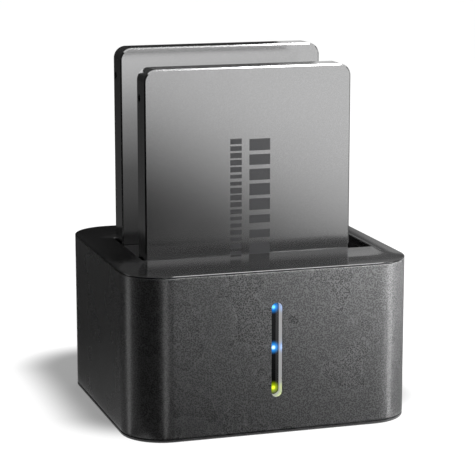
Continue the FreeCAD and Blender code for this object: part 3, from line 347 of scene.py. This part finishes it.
def pan_screw(name, head_radius, head_height, shank_radius, shank_length):
    """A domed pan head, low end down, with a cross recess in it and a ridged shank above."""
    profile = [(0, 0), (0.45 * head_radius, 0.04 * head_height), (0.8 * head_radius, 0.22 * head_height),
               (0.96 * head_radius, 0.5 * head_height), (head_radius, 0.8 * head_height),
               (head_radius, head_height), (shank_radius, head_height)]
    pitch = 0.7 * shank_radius
    level = head_height
    while level + pitch < head_height + shank_length - shank_radius:
        profile += [(shank_radius * 0.8, level + 0.3 * pitch), (shank_radius, level + 0.65 * pitch)]
        level += pitch
    profile += [(0, head_height + shank_length)]
    screw = new_object(name, turned(name, profile, sides=32))
    depth, wide, narrow = 0.6 * head_height, 0.62 * head_radius, 0.13 * head_radius
    cutters = []
    for half_x, half_y in ((wide, narrow), (narrow, wide)):
        shape = bmesh.new()
        bmesh.ops.create_cube(shape, size=1, matrix=Matrix.Diagonal((2 * half_x, 2 * half_y, 2 * depth, 1)))
        cutter = new_object("recess", finished_mesh("recess", shape))
        cutters.append(cutter)
        cut = screw.modifiers.new("recess", "BOOLEAN")
        cut.object = cutter
        cut.solver = "EXACT"
    mesh = baked(screw).data
    for item in cutters + [screw]:
        bpy.data.objects.remove(item)
    return mesh


any_turn = 3.0
screw_plate = plated_metal("nickel_plate", (0.62, 0.61, 0.59), roughness=0.28, streak=0.25)
dress(screw_plate, "board_screws", "well_screws", "lamp_screws", "switch_pin")
base_screw_radius = 0.0025
base_screw = pan_screw("base_screw", base_screw_radius, head_height=0.0009, shank_radius=0.00105,
                       shank_length=0.0101)
base_screws = set_out("base_cover_screws", base_screw, under_corners("base_screws", base_screw_radius),
                      screw_plate, largest_turn=any_turn)
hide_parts("base_screws")
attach(base_screws, "root")

# ------------------------------------------------------------------ circuit boards
# Glass-fibre boards under green solder mask, with tracks that show through it,
# black moulded chips, and drawn cans on the capacitors and the crystal.


def make_board_material():
    """Green solder mask over a net of slightly raised tracks."""
    mask_green, track_green = (0.008, 0.07, 0.03), (0.03, 0.16, 0.06)
    material, tree, shader = new_material("solder_mask", mask_green, roughness=0.32)
    place = add(tree, "ShaderNodeTexCoord")
    net = add(tree, "ShaderNodeTexVoronoi", feature="DISTANCE_TO_EDGE")
    net.inputs["Scale"].default_value = 420.0
    net.inputs["Randomness"].default_value = 0.55
    tree.links.new(place.outputs["Object"], net.inputs["Vector"])
    track = ease(tree, net.outputs["Distance"], (0.05, 0.12), (1.0, 0.0))
    blend_color(tree, shader, track, mask_green, track_green)
    emboss(tree, shader, track, depth=0.00003)
    return material


dress(make_board_material(), "main_board", "lamp_board", "front_drive_board", "rear_drive_board")
chip_epoxy = textured_plastic("chip_epoxy", dark=(0.012, 0.012, 0.012), bright=(0.03, 0.03, 0.03),
                              roughness=0.55, size=0.0002, depth=0.00001)
dress(chip_epoxy, "bridge_chip", "copy_controller", "memory_chip", "inductor")
drawn_can = plated_metal("drawn_can", (0.74, 0.74, 0.75), roughness=0.25, streak=0.15)
dress(drawn_can, "crystal", "capacitors")

# ------------------------------------------------------------------ sockets and plugs
# Glass-filled black nylon bodies, with gold-flashed spring contacts pressed in.
# The drives' plugs are the same nylon, with flat contacts.
socket_nylon = textured_plastic("socket_nylon", dark=(0.014, 0.014, 0.014), bright=(0.03, 0.03, 0.03),
                                roughness=0.42, size=0.0003, depth=0.00001)
dress(socket_nylon, "front_socket", "rear_socket", "rear_socket_riser", "lamp_header", "usb_tongue",
      "power_jack", "copy_switch", "front_drive_plug", "rear_drive_plug")
gold_flash = plated_metal("gold_flash", (0.9, 0.64, 0.27), roughness=0.22, streak=0.2)
dress(gold_flash, "front_socket_contacts", "rear_socket_contacts", "front_drive_contacts",
      "rear_drive_contacts")

# ------------------------------------------------------------------ drive well
# The insert under the mouth is a plain black moulding with two slots and a deck
# between them, screwed to the bezel.
well_plastic = textured_plastic("well_plastic", dark=(0.008, 0.008, 0.0085), bright=(0.016, 0.016, 0.0165),
                                roughness=0.4, size=0.0004, depth=0.00001)
dress(well_plastic, "drive_well")

# ------------------------------------------------------------------ outer shell
# One deep moulding of black ABS round the four sides, drawn from a spark-eroded
# mould, so that it has a fine even sparkle under a satin gloss.
shell_plastic = textured_plastic("shell_plastic", dark=(0.031, 0.031, 0.0315), bright=(0.125, 0.125, 0.1265),
                                 roughness=0.28, size=0.00045, depth=0.000006)
dress(shell_plastic, "outer_shell")

# ------------------------------------------------------------------ top bezel
# The dished frame round the mouth is a second black moulding, snapped and screwed
# to the shell. Its mould is polished, so it is smoother than the shell.
bezel_plastic = textured_plastic("bezel_plastic", dark=(0.008, 0.008, 0.0082), bright=(0.012, 0.012, 0.0122),
                                 roughness=0.13, size=0.0004, depth=0.000001)
dress(bezel_plastic, "top_bezel")

# ------------------------------------------------------------------ indicator
# A plated liner pressed in behind the front slot, brightened by a painted white glow,
# a smoked lens on it, and three lamps on the board behind, two blue and one green, that shine through.


def make_lamp_spot_group():
    """Light of one lamp in the lens: a small core, and a halo round it."""
    tree, given, out = effect_group("lamp_spot", {"Middle": (0.0, 0.0, 0.0)}, ("Core", "Halo"))
    place = add(tree, "ShaderNodeTexCoord")
    reach = add(tree, "ShaderNodeVectorMath", operation="DISTANCE")
    tree.links.new(place.outputs["Object"], reach.inputs[0])
    tree.links.new(given.outputs["Middle"], reach.inputs[1])
    core_radius, halo_radius = 0.0010, 0.0026
    for output, radius in (("Core", core_radius), ("Halo", halo_radius)):
        fade = ease(tree, reach.outputs["Value"], (0.0, radius), (1.0, 0.0), "SMOOTHERSTEP")
        tree.links.new(fade, out.inputs[output])
    return tree


def make_lens_material():
    """Smoked acrylic, dark but for the light of the three lamps."""
    material, tree, shader = new_material("smoked_lens", (0.004, 0.004, 0.005), roughness=0.08)
    low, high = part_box("status_lamps")
    power_low, power_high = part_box("power_lamp")
    half_lamp = (power_high[2] - power_low[2]) / 2
    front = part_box("indicator_lens")[0][1]
    group = make_lamp_spot_group()
    light = None
    for level, core, halo in ((high[2] - half_lamp, (0.25, 0.7, 1.0), (0.0, 0.22, 0.75)),
                              (low[2] + half_lamp, (0.8, 0.95, 1.0), (0.02, 0.3, 0.9)),
                              (power_low[2] + half_lamp, (0.75, 0.9, 0.05), (0.3, 0.4, 0.0))):
        spot = add(tree, "ShaderNodeGroup", node_tree=group)
        spot.inputs["Middle"].default_value = (0.0, front, level)
        for output, color in (("Core", core), ("Halo", halo)):
            tint = add(tree, "ShaderNodeVectorMath", operation="SCALE")
            tint.inputs[0].default_value = color
            tree.links.new(spot.outputs[output], tint.inputs["Scale"])
            if light is None:
                light = tint
                continue
            both = add(tree, "ShaderNodeVectorMath", operation="ADD")
            tree.links.new(light.outputs["Vector"], both.inputs[0])
            tree.links.new(tint.outputs["Vector"], both.inputs[1])
            light = both
    tree.links.new(light.outputs["Vector"], shader.inputs["Emission Color"])
    shader.inputs["Emission Strength"].default_value = 1.3
    return material


dress(make_lens_material(), "indicator_lens")
painted_glow_liner = plated_metal("bright_liner", (0.85, 0.85, 0.86), roughness=0.3, streak=0.1)
liner_shader = painted_glow_liner.node_tree.nodes["Principled BSDF"]
# The liner is no lamp: this white emission is a painted glow that stands in for light it reflects.
liner_shader.inputs["Emission Color"].default_value = (1.0, 1.0, 1.0, 1)
liner_shader.inputs["Emission Strength"].default_value = 0.35
dress(painted_glow_liner, "indicator_liner")


def lamp_body(name, color):
    """A lamp's milky epoxy body, cloudy inside."""
    cloudiness = 0.4
    material, tree, shader = new_material(name, color, roughness=0.3)
    haze = clouds(tree, scale=700.0, detail=2.0)
    blend_color(tree, shader, haze.outputs["Fac"], [part * (1 - cloudiness) for part in color], color)
    return material


dress(lamp_body("blue_lamp", (0.2, 0.6, 0.95)), "status_lamps")
dress(lamp_body("green_lamp", (0.6, 0.85, 0.1)), "power_lamp")

# ------------------------------------------------------------------ data port and power inlet
# The port is a folded and plated steel shell round a nylon tongue, with a row of
# gold contacts above and below it. The barrel inlet has a plated pin.


def block(name, half_x, half_y, half_z, bevel):
    """A small bevelled bar about the origin, given by its half sizes."""
    shape = bmesh.new()
    bmesh.ops.create_cube(shape, size=2, matrix=Matrix.Diagonal((half_x, half_y, half_z, 1)))
    bmesh.ops.bevel(shape, geom=shape.edges[:], offset=bevel, segments=2, profile=0.5, affect="EDGES")
    return finished_mesh(name, shape)


port_plate = plated_metal("port_plate", (0.6, 0.6, 0.61), roughness=0.25, streak=0.2)
dress(port_plate, "usb_shell", "power_jack_pin")
tongue_low, tongue_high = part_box("usb_tongue")
contact_pitch, contact_count, contact_setback = 0.0005, 12, 0.0016
tongue_middle = (tongue_low[0] + tongue_high[0]) / 2
first_contact = tongue_middle - contact_pitch * (contact_count - 1) / 2
contact_places = [Vector((first_contact + contact_pitch * i, tongue_high[1] - contact_setback, level))
                  for i in range(contact_count) for level in (tongue_low[2], tongue_high[2])]
port_contact = block("port_contact", half_x=0.00013, half_y=0.0013, half_z=0.00004, bevel=0.00001)
port_contacts = set_out("port_contacts", port_contact, contact_places, gold_flash)
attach(port_contacts, "root")

# ------------------------------------------------------------------ power rocker and copy button
# The rocker, its housing and the round button are glossy black mouldings. The
# rocker turns on a pin, and its two faces carry an O and an I printed in white.


def rocker_point(degrees, reach):
    """A point of the rocker's side view, at an angle above straight out and a reach from its pin."""
    angle = math.radians(degrees) - rocker_lean
    return rocker_pin + Vector((0, math.cos(angle), math.sin(angle))) * reach


def laid_on(mesh, start, end, height):
    """Lay a mesh, made about Z, flat on the rocker's face between two points."""
    up = (end - start).normalized()
    out = up.cross(Vector((1, 0, 0))).normalized()
    if out.y < 0:
        out = -out
    side = up.cross(out)
    place = (start + end) / 2 + out * height
    mesh.transform(Matrix.Translation(place) @ Matrix((side, up, out)).transposed().to_4x4())
    return mesh


switch_plastic = textured_plastic("switch_plastic", dark=(0.012, 0.012, 0.012), bright=(0.018, 0.018, 0.018),
                                  roughness=0.25, size=0.0003, depth=0.000003)
dress(switch_plastic, "switch_housing", "power_rocker", "copy_button")
mark_paint = textured_plastic("mark_paint", dark=(0.6, 0.6, 0.6), bright=(0.7, 0.7, 0.7),
                              roughness=0.5, size=0.0002, depth=0.000002)
rocker_pin = next(Vector(joint["pos_m"]) for joint in frame["record"]["behaviour"]["joints"]
                  if joint["name"] == "power_rocker_tilt")
rocker_lean = math.radians(9)
valley_reach, tip_reach, tip_angle = 0.0025, 0.0053, 52
mark_radius, mark_half_depth, mark_lift = 0.0009, 0.00003, 0.00002
ring_share, bar_half_width = 0.75, 0.00014
ring = turned("off_mark", [(mark_radius, -mark_half_depth), (mark_radius, mark_half_depth),
                           (ring_share * mark_radius, mark_half_depth),
                           (ring_share * mark_radius, -mark_half_depth)], sides=36, closed=True)
bar = block("on_mark", half_x=bar_half_width, half_y=mark_radius, half_z=mark_half_depth, bevel=0.00001)
for mesh, angle in ((ring, tip_angle), (bar, -tip_angle)):
    laid_on(mesh, rocker_point(0, valley_reach), rocker_point(angle, tip_reach), mark_lift)
    mark = new_object("rocker_" + mesh.name, mesh)
    mark.data.materials.append(mark_paint)
    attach(mark, "power_rocker")

# ------------------------------------------------------------------ drive cases
# Each drive is a cover and a tray of fine-blasted and clear-anodised aluminium
# with a bevelled edge, held by four small screws at the back.


def make_case_metal():
    """Blasted aluminium: a fine even grain under a soft sheen."""
    material, tree, shader = new_material("blasted_aluminium", (0.56, 0.56, 0.56), roughness=0.14,
                                          metallic=1.0)
    grain = add(tree, "ShaderNodeGroup", node_tree=grain_group)
    grain.inputs["Size"].default_value = 0.0003
    blend_color(tree, shader, grain.outputs["Facet"], (0.53, 0.53, 0.532), (0.58, 0.58, 0.582))
    vary_roughness(tree, shader, grain.outputs["Cloud"], low=0.13, high=0.16)
    emboss(tree, shader, grain.outputs["Height"], depth=0.000001)
    return material


dress(make_case_metal(), "front_drive_cover", "front_drive_tray", "rear_drive_cover", "rear_drive_tray")
case_screw_radius = 0.0016
case_screw = pan_screw("case_screw", case_screw_radius, head_height=0.0003, shank_radius=0.0012,
                       shank_length=0.00015)
case_screw.transform(Matrix.Rotation(math.radians(90), 4, "X"))
for side in ("front", "rear"):
    low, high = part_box(side + "_drive_screws")
    places = [Vector((x, high[1], z)) for x in (low[0] + case_screw_radius, high[0] - case_screw_radius)
              for z in (low[2] + case_screw_radius, high[2] - case_screw_radius)]
    screws = set_out(side + "_case_screws", case_screw.copy(), places, screw_plate, axis=(0, 1, 0),
                     largest_turn=any_turn)
    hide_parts(side + "_drive_screws")
    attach(screws, side + "_drive")

# ------------------------------------------------------------------ print on the front drive
# Two columns of plain bars, one bold and one fine, screen-printed in dark grey ink
# down the front drive's cover.


def make_print_tree():
    """A column of printed bars, each a little shorter or longer, going down from the top."""
    ink_thickness, shortest, longest = 0.00004, 0.45, 0.82
    tree, given = geometry_tree("printed_column", (
        ("Count", "Int"), ("Pitch", "Float"), ("Width", "Float"), ("Start", "Vector"),
        ("Finish", "Material")))
    down = add(tree, "ShaderNodeMath", operation="MULTIPLY")
    down.inputs[1].default_value = -1.0
    tree.links.new(given.outputs["Pitch"], down.inputs[0])
    step = add(tree, "ShaderNodeCombineXYZ")
    tree.links.new(down.outputs[0], step.inputs["Z"])
    line = tree.nodes.new("GeometryNodeMeshLine")
    tree.links.new(given.outputs["Count"], line.inputs["Count"])
    tree.links.new(given.outputs["Start"], line.inputs["Start Location"])
    tree.links.new(step.outputs[0], line.inputs["Offset"])
    size = add(tree, "ShaderNodeCombineXYZ")
    size.inputs["Y"].default_value = ink_thickness
    tree.links.new(given.outputs["Width"], size.inputs["X"])
    tree.links.new(given.outputs["Pitch"], size.inputs["Z"])
    mark = tree.nodes.new("GeometryNodeMeshCube")
    tree.links.new(size.outputs[0], mark.inputs["Size"])
    share = add(tree, "FunctionNodeRandomValue", data_type="FLOAT")
    share.inputs[float_low].default_value = shortest
    share.inputs[float_high].default_value = longest
    share.inputs["Seed"].default_value = 3
    scale = add(tree, "ShaderNodeCombineXYZ")
    scale.inputs["X"].default_value = 1.0
    scale.inputs["Y"].default_value = 1.0
    tree.links.new(share.outputs[float_value], scale.inputs["Z"])
    repeat = tree.nodes.new("GeometryNodeInstanceOnPoints")
    tree.links.new(line.outputs[0], repeat.inputs["Points"])
    tree.links.new(mark.outputs["Mesh"], repeat.inputs["Instance"])
    tree.links.new(scale.outputs[0], repeat.inputs["Scale"])
    return close_tree(tree, given, repeat.outputs["Instances"])


print_tree = make_print_tree()
print_ink = textured_plastic("print_ink", dark=(0.02, 0.02, 0.021), bright=(0.026, 0.026, 0.027),
                             roughness=0.5, size=0.0002, depth=0.000002, gloss=0.2)
cover_low, cover_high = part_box("front_drive_cover")
print_drop = 0.0229
for name, left, right, count, pitch in (("bold_print", 0.0350, 0.0421, 8, 0.0049),
                                        ("fine_print", 0.0285, 0.0324, 17, 0.0023)):
    start = (cover_low[0] + (left + right) / 2, cover_low[1], cover_high[2] - print_drop - pitch / 2)
    column = grown(new_object(name, bpy.data.meshes.new(name)), print_tree, {
        "Count": count, "Pitch": pitch, "Width": right - left, "Start": start, "Finish": print_ink})
    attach(column, "front_drive")

# ------------------------------------------------------------------ floor and studio
# A plain white table in a white room. The camera, and gloss, see both as white;
# round the dock the table's white glow is turned down in a painted shade, over the
# lamps' weak real shadow on the table.


def camera_and_gloss(tree):
    """1 for rays from the camera and for glossy and clear reflections, else 0."""
    path = add(tree, "ShaderNodeLightPath")
    either = path.outputs["Is Camera Ray"]
    for kind in ("Is Glossy Ray", "Is Transmission Ray"):
        larger = add(tree, "ShaderNodeMath", operation="MAXIMUM")
        tree.links.new(either, larger.inputs[0])
        tree.links.new(path.outputs[kind], larger.inputs[1])
        either = larger.outputs[0]
    return either


def flat_card(name, corners):
    """A flat four-sided card, put in the scene."""
    mesh = bpy.data.meshes.new(name)
    mesh.from_pydata(corners, [], [(0, 1, 2, 3)])
    card = new_object(name, mesh)
    return card


def lying(left, right, front, back, level):
    """Corners of a card that lies flat."""
    return [(left, front, level), (right, front, level), (right, back, level), (left, back, level)]


def across(left, right, depth, foot, top):
    """Corners of a card that stands across the view."""
    return [(left, depth, foot), (right, depth, foot), (right, depth, top), (left, depth, top)]


def along(side, front, back, foot, top):
    """Corners of a card that stands along the view."""
    return [(side, front, foot), (side, back, foot), (side, back, top), (side, front, top)]


table_reach = 6.0
corner_radius = 0.014
shell_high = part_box("outer_shell")[1]
inner_corner = (shell_high[0] - corner_radius, shell_high[1] - corner_radius, 1.0)
# The shade round the dock is painted: the table's glow is turned down near the dock.
painted_shade_shift = (0.001, 0.026, 0.0)      # the shade lies mostly behind the dock, away from the key light
painted_shade_from, painted_shade_to = 0.016, 0.036    # reach outside the box of corner centres, over which it fades
painted_shade_level = 0.3
floor = flat_card("floor", lying(-table_reach, table_reach, -table_reach, table_reach, 0))
table_paint, tree, shader = new_material("white_table", (0.09, 0.09, 0.09), roughness=0.9)
shader.inputs["Specular IOR Level"].default_value = 0.0
place = add(tree, "ShaderNodeTexCoord")
spot = place.outputs["Object"]
for operation, operand in (("SUBTRACT", painted_shade_shift), ("ABSOLUTE", None), ("SUBTRACT", inner_corner),
                           ("MAXIMUM", (0, 0, 0))):
    item = add(tree, "ShaderNodeVectorMath", operation=operation)
    tree.links.new(spot, item.inputs[0])
    if operand:
        item.inputs[1].default_value = operand
    spot = item.outputs["Vector"]
reach = add(tree, "ShaderNodeVectorMath", operation="LENGTH")
tree.links.new(spot, reach.inputs[0])
# The table's white is this glow. Near the dock it is turned down in a painted shade.
glow = add(tree, "ShaderNodeEmission")
tree.links.new(ease(tree, reach.outputs["Value"], (painted_shade_from, painted_shade_to), (painted_shade_level, 1.0)),
               glow.inputs["Strength"])
both = add(tree, "ShaderNodeAddShader")
pick = add(tree, "ShaderNodeMixShader")
tree.links.new(shader.outputs[0], both.inputs[0])
tree.links.new(glow.outputs[0], both.inputs[1])
tree.links.new(camera_and_gloss(tree), pick.inputs["Fac"])
tree.links.new(shader.outputs[0], pick.inputs[1])
tree.links.new(both.outputs[0], pick.inputs[2])
tree.links.new(pick.outputs[0], tree.nodes["Material Output"].inputs["Surface"])
floor.data.materials.append(table_paint)

room = bpy.data.worlds.new("white_room")
bpy.context.scene.world = room
room.use_nodes = True
tree = room.node_tree
fill = tree.nodes["Background"]
fill.inputs["Color"].default_value = (1, 1, 1, 1)
fill.inputs["Strength"].default_value = 0.05
white = add(tree, "ShaderNodeBackground")
white.inputs["Strength"].default_value = 1.0
pick = add(tree, "ShaderNodeMixShader")
tree.links.new(camera_and_gloss(tree), pick.inputs["Fac"])
tree.links.new(fill.outputs[0], pick.inputs[1])
tree.links.new(white.outputs[0], pick.inputs[2])
tree.links.new(pick.outputs[0], tree.nodes["World Output"].inputs["Surface"])

# ------------------------------------------------------------------ graded cards
# Graded cards lie and stand round the dock, as they do for any dark glossy
# product, and show only in its gloss.


def hide_from(item, *rays):
    """Leave an object out for some kinds of rays."""
    for ray in rays:
        setattr(item, "visible_" + ray, False)


def gloss_card(name, corners, direction, stops):
    """A card only glossy reflections see. Its stops are (distance along a direction, brightness)."""
    card = flat_card(name, corners)
    paint, tree, _ = new_material(name, (0, 0, 0), roughness=1.0)
    place = add(tree, "ShaderNodeTexCoord")
    distance = add(tree, "ShaderNodeVectorMath", operation="DOT_PRODUCT")
    tree.links.new(place.outputs["Object"], distance.inputs[0])
    distance.inputs[1].default_value = direction
    start, end = stops[0][0], stops[-1][0]
    ramp = add(tree, "ShaderNodeValToRGB")
    points = ramp.color_ramp.elements
    while len(points) < len(stops):
        points.new(0.5)
    for point, (position, level) in zip(points, stops):
        point.position = (position - start) / (end - start)
        point.color = (level, level, level, 1)
    share = ease(tree, distance.outputs["Value"], (start, end), (0.0, 1.0), "LINEAR")
    tree.links.new(share, ramp.inputs["Fac"])
    glow = add(tree, "ShaderNodeEmission")
    tree.links.new(ramp.outputs["Color"], glow.inputs["Color"])
    tree.links.new(glow.outputs[0], tree.nodes["Material Output"].inputs["Surface"])
    card.data.materials.append(paint)
    hide_from(card, "camera", "diffuse", "transmission", "shadow")


rightward, forward, backward, upward = (1.0, 0.0, 0.0), (0.0, -1.0, 0.0), (0.0, 1.0, 0.0), (0.0, 0.0, 1.0)
card_level = 0.0004
near_level = 1.5 * card_level
strip_level = 2 * card_level
front_edge = -0.046
far = 3.0
gloss_card("table_card", lying(-far, far, -far, front_edge, card_level), rightward,
           [(0.03, 0.0), (0.076, 0.05), (0.11, 0.18), (0.135, 0.4), (0.16, 0.57), (0.2, 0.78), (0.3, 0.9)])
gloss_card("near_card", lying(-0.05, 0.4, -0.28, -0.09, near_level), forward,
           [(0.09, 0.02), (0.14, 0.2), (0.2, 0.35), (0.25, 0.2), (0.28, 0.05)])
gloss_card("left_card", lying(-1.6, -0.05, front_edge, 1.0, card_level), forward,
           [(-1.0, 0.01), (-0.1, 0.04), (0.0, 0.14), (0.05, 0.26)])
gloss_card("right_card", lying(0.05, 1.6, front_edge, 1.0, card_level), rightward,
           [(0.05, 0.1), (1.6, 0.3)])
gloss_card("back_card", across(0.1, 0.9, 0.25, 0.0, 0.5), upward,
           [(0.0, 0.3), (0.082, 0.26), (0.095, 0.08), (0.12, 0.05), (0.14, 0.6), (0.17, 0.8), (0.5, 0.9)])
gloss_card("back_left_card", across(-0.9, 0.1, 0.25, 0.0, 0.5), upward,
           [(0.0, 0.06), (0.1, 0.02), (0.2, 0.03), (0.26, 0.5), (0.5, 0.8)])
gloss_card("between_card", across(-0.0362, 0.0332, -0.0103, 0.02, 0.116), upward,
           [(0.02, 0.03), (0.057, 0.06), (0.076, 0.14), (0.095, 0.4), (0.11, 0.75), (0.118, 0.9)])
gloss_card("front_card", across(-far, far, -far, 0.0, 1.6), upward,
           [(0.0, 0.12), (1.0, 0.12), (1.6, 0.5)])
gloss_card("left_flag", along(-0.9, -far, 0.7, 0.0, 1.2), backward,
           [(-far, 0.0), (0.7, 0.02)])
gloss_card("right_flag", along(0.9, -0.5, 0.7, 0.0, 0.6), backward,
           [(-0.5, 0.1), (0.7, 0.2)])
gloss_card("edge_card", [(0.02, -0.34, 0.72), (0.26, 0.0, 0.72), (0.44, -0.14, 0.6), (0.2, -0.5, 0.6)],
           backward, [(-0.5, 12.0), (0.3, 12.0)])


def strip(name, corner_x, normal_angle, spread, level):
    """A bright wedge on the table and up, which a front corner mirrors where its normal has an angle."""
    view_azimuth = 17.6
    near, far_end, rise = 0.004, 0.6, Vector((0.0, 0.0, 0.5))
    turn = math.radians(normal_angle)
    start = Vector((corner_x + corner_radius * math.sin(turn),
                    -inner_corner[1] - corner_radius * math.cos(turn), strip_level))
    edges = []
    for side in (-1, 1):
        way = math.radians(2 * normal_angle + view_azimuth + side * spread)
        edges.append(Vector((math.sin(way), -math.cos(way), 0.0)))
    inner = [start + edge * near for edge in edges]
    outer = [start + edge * far_end for edge in edges]
    stops = [(0.0, level), (1.0, level)]
    gloss_card(name + "_low", [inner[0], inner[1], outer[1], outer[0]], upward, stops)
    gloss_card(name + "_high", [outer[0], outer[1], outer[1] + rise, outer[0] + rise], upward, stops)


strip("right_strip", inner_corner[0], normal_angle=23, spread=7, level=6.0)
strip("left_strip", -inner_corner[0], normal_angle=-66, spread=8, level=1.6)
strip("corner_strip", -inner_corner[0], normal_angle=-12, spread=6, level=2.2)

# ------------------------------------------------------------------ lamps
# Soft boxes light the dock from the right, above, behind and, weakly, the left.
# A flag shades the lower left of its front from the nearest one.


def soft_box(name, azimuth, elevation, distance, width, height, power):
    """An area lamp at an azimuth to the right of the front, aimed at the dock and left out of gloss."""
    aim = Vector((0.0, 0.0, 0.05))
    turn, lift = math.radians(azimuth), math.radians(elevation)
    away = Vector((math.sin(turn) * math.cos(lift), -math.cos(turn) * math.cos(lift), math.sin(lift)))
    lamp = bpy.data.lights.new(name, "AREA")
    lamp.shape = "RECTANGLE"
    lamp.size = width
    lamp.size_y = height
    lamp.energy = power
    holder = new_object(name, lamp)
    holder.location = aim + away * distance
    holder.rotation_euler = (-away).to_track_quat("-Z", "Y").to_euler()
    hide_from(holder, "glossy")


soft_box("key_box", azimuth=44, elevation=42, distance=0.19, width=0.12, height=0.15, power=1.7)
soft_box("top_box", azimuth=20, elevation=82, distance=0.8, width=0.5, height=0.5, power=1.8)
soft_box("back_box", azimuth=150, elevation=35, distance=0.9, width=0.5, height=0.5, power=5.0)
soft_box("left_box", azimuth=-112, elevation=12, distance=0.8, width=0.3, height=0.5, power=0.45)
flag_depth, flag_left, flag_top, slant_foot, slant_top = -0.075, -0.3, 0.282, 0.0914, -0.045
key_flag = flat_card("key_flag", [(slant_foot, flag_depth, 0.0), (slant_top, flag_depth, flag_top),
                                  (flag_left, flag_depth, flag_top), (flag_left, flag_depth, 0.0)])
hide_from(key_flag, "camera", "diffuse", "glossy", "transmission")

# ------------------------------------------------------------------ camera
# The dock is seen a little from the left and from above, with a long lens set
# well back, so that its upright edges stay nearly parallel.
camera_place, looking = (-0.19221, -0.60735, 0.18336), Vector((0.297, 0.9346, -0.1955))
camera_data = bpy.data.cameras.new("camera")
camera_data.lens = 146.0
camera_data.sensor_width = 36.0
camera = new_object("camera", camera_data)
camera.location = camera_place
camera.rotation_euler = looking.to_track_quat("-Z", "Y").to_euler()
bpy.context.scene.camera = camera
bpy.context.scene.view_settings.view_transform = "Standard"
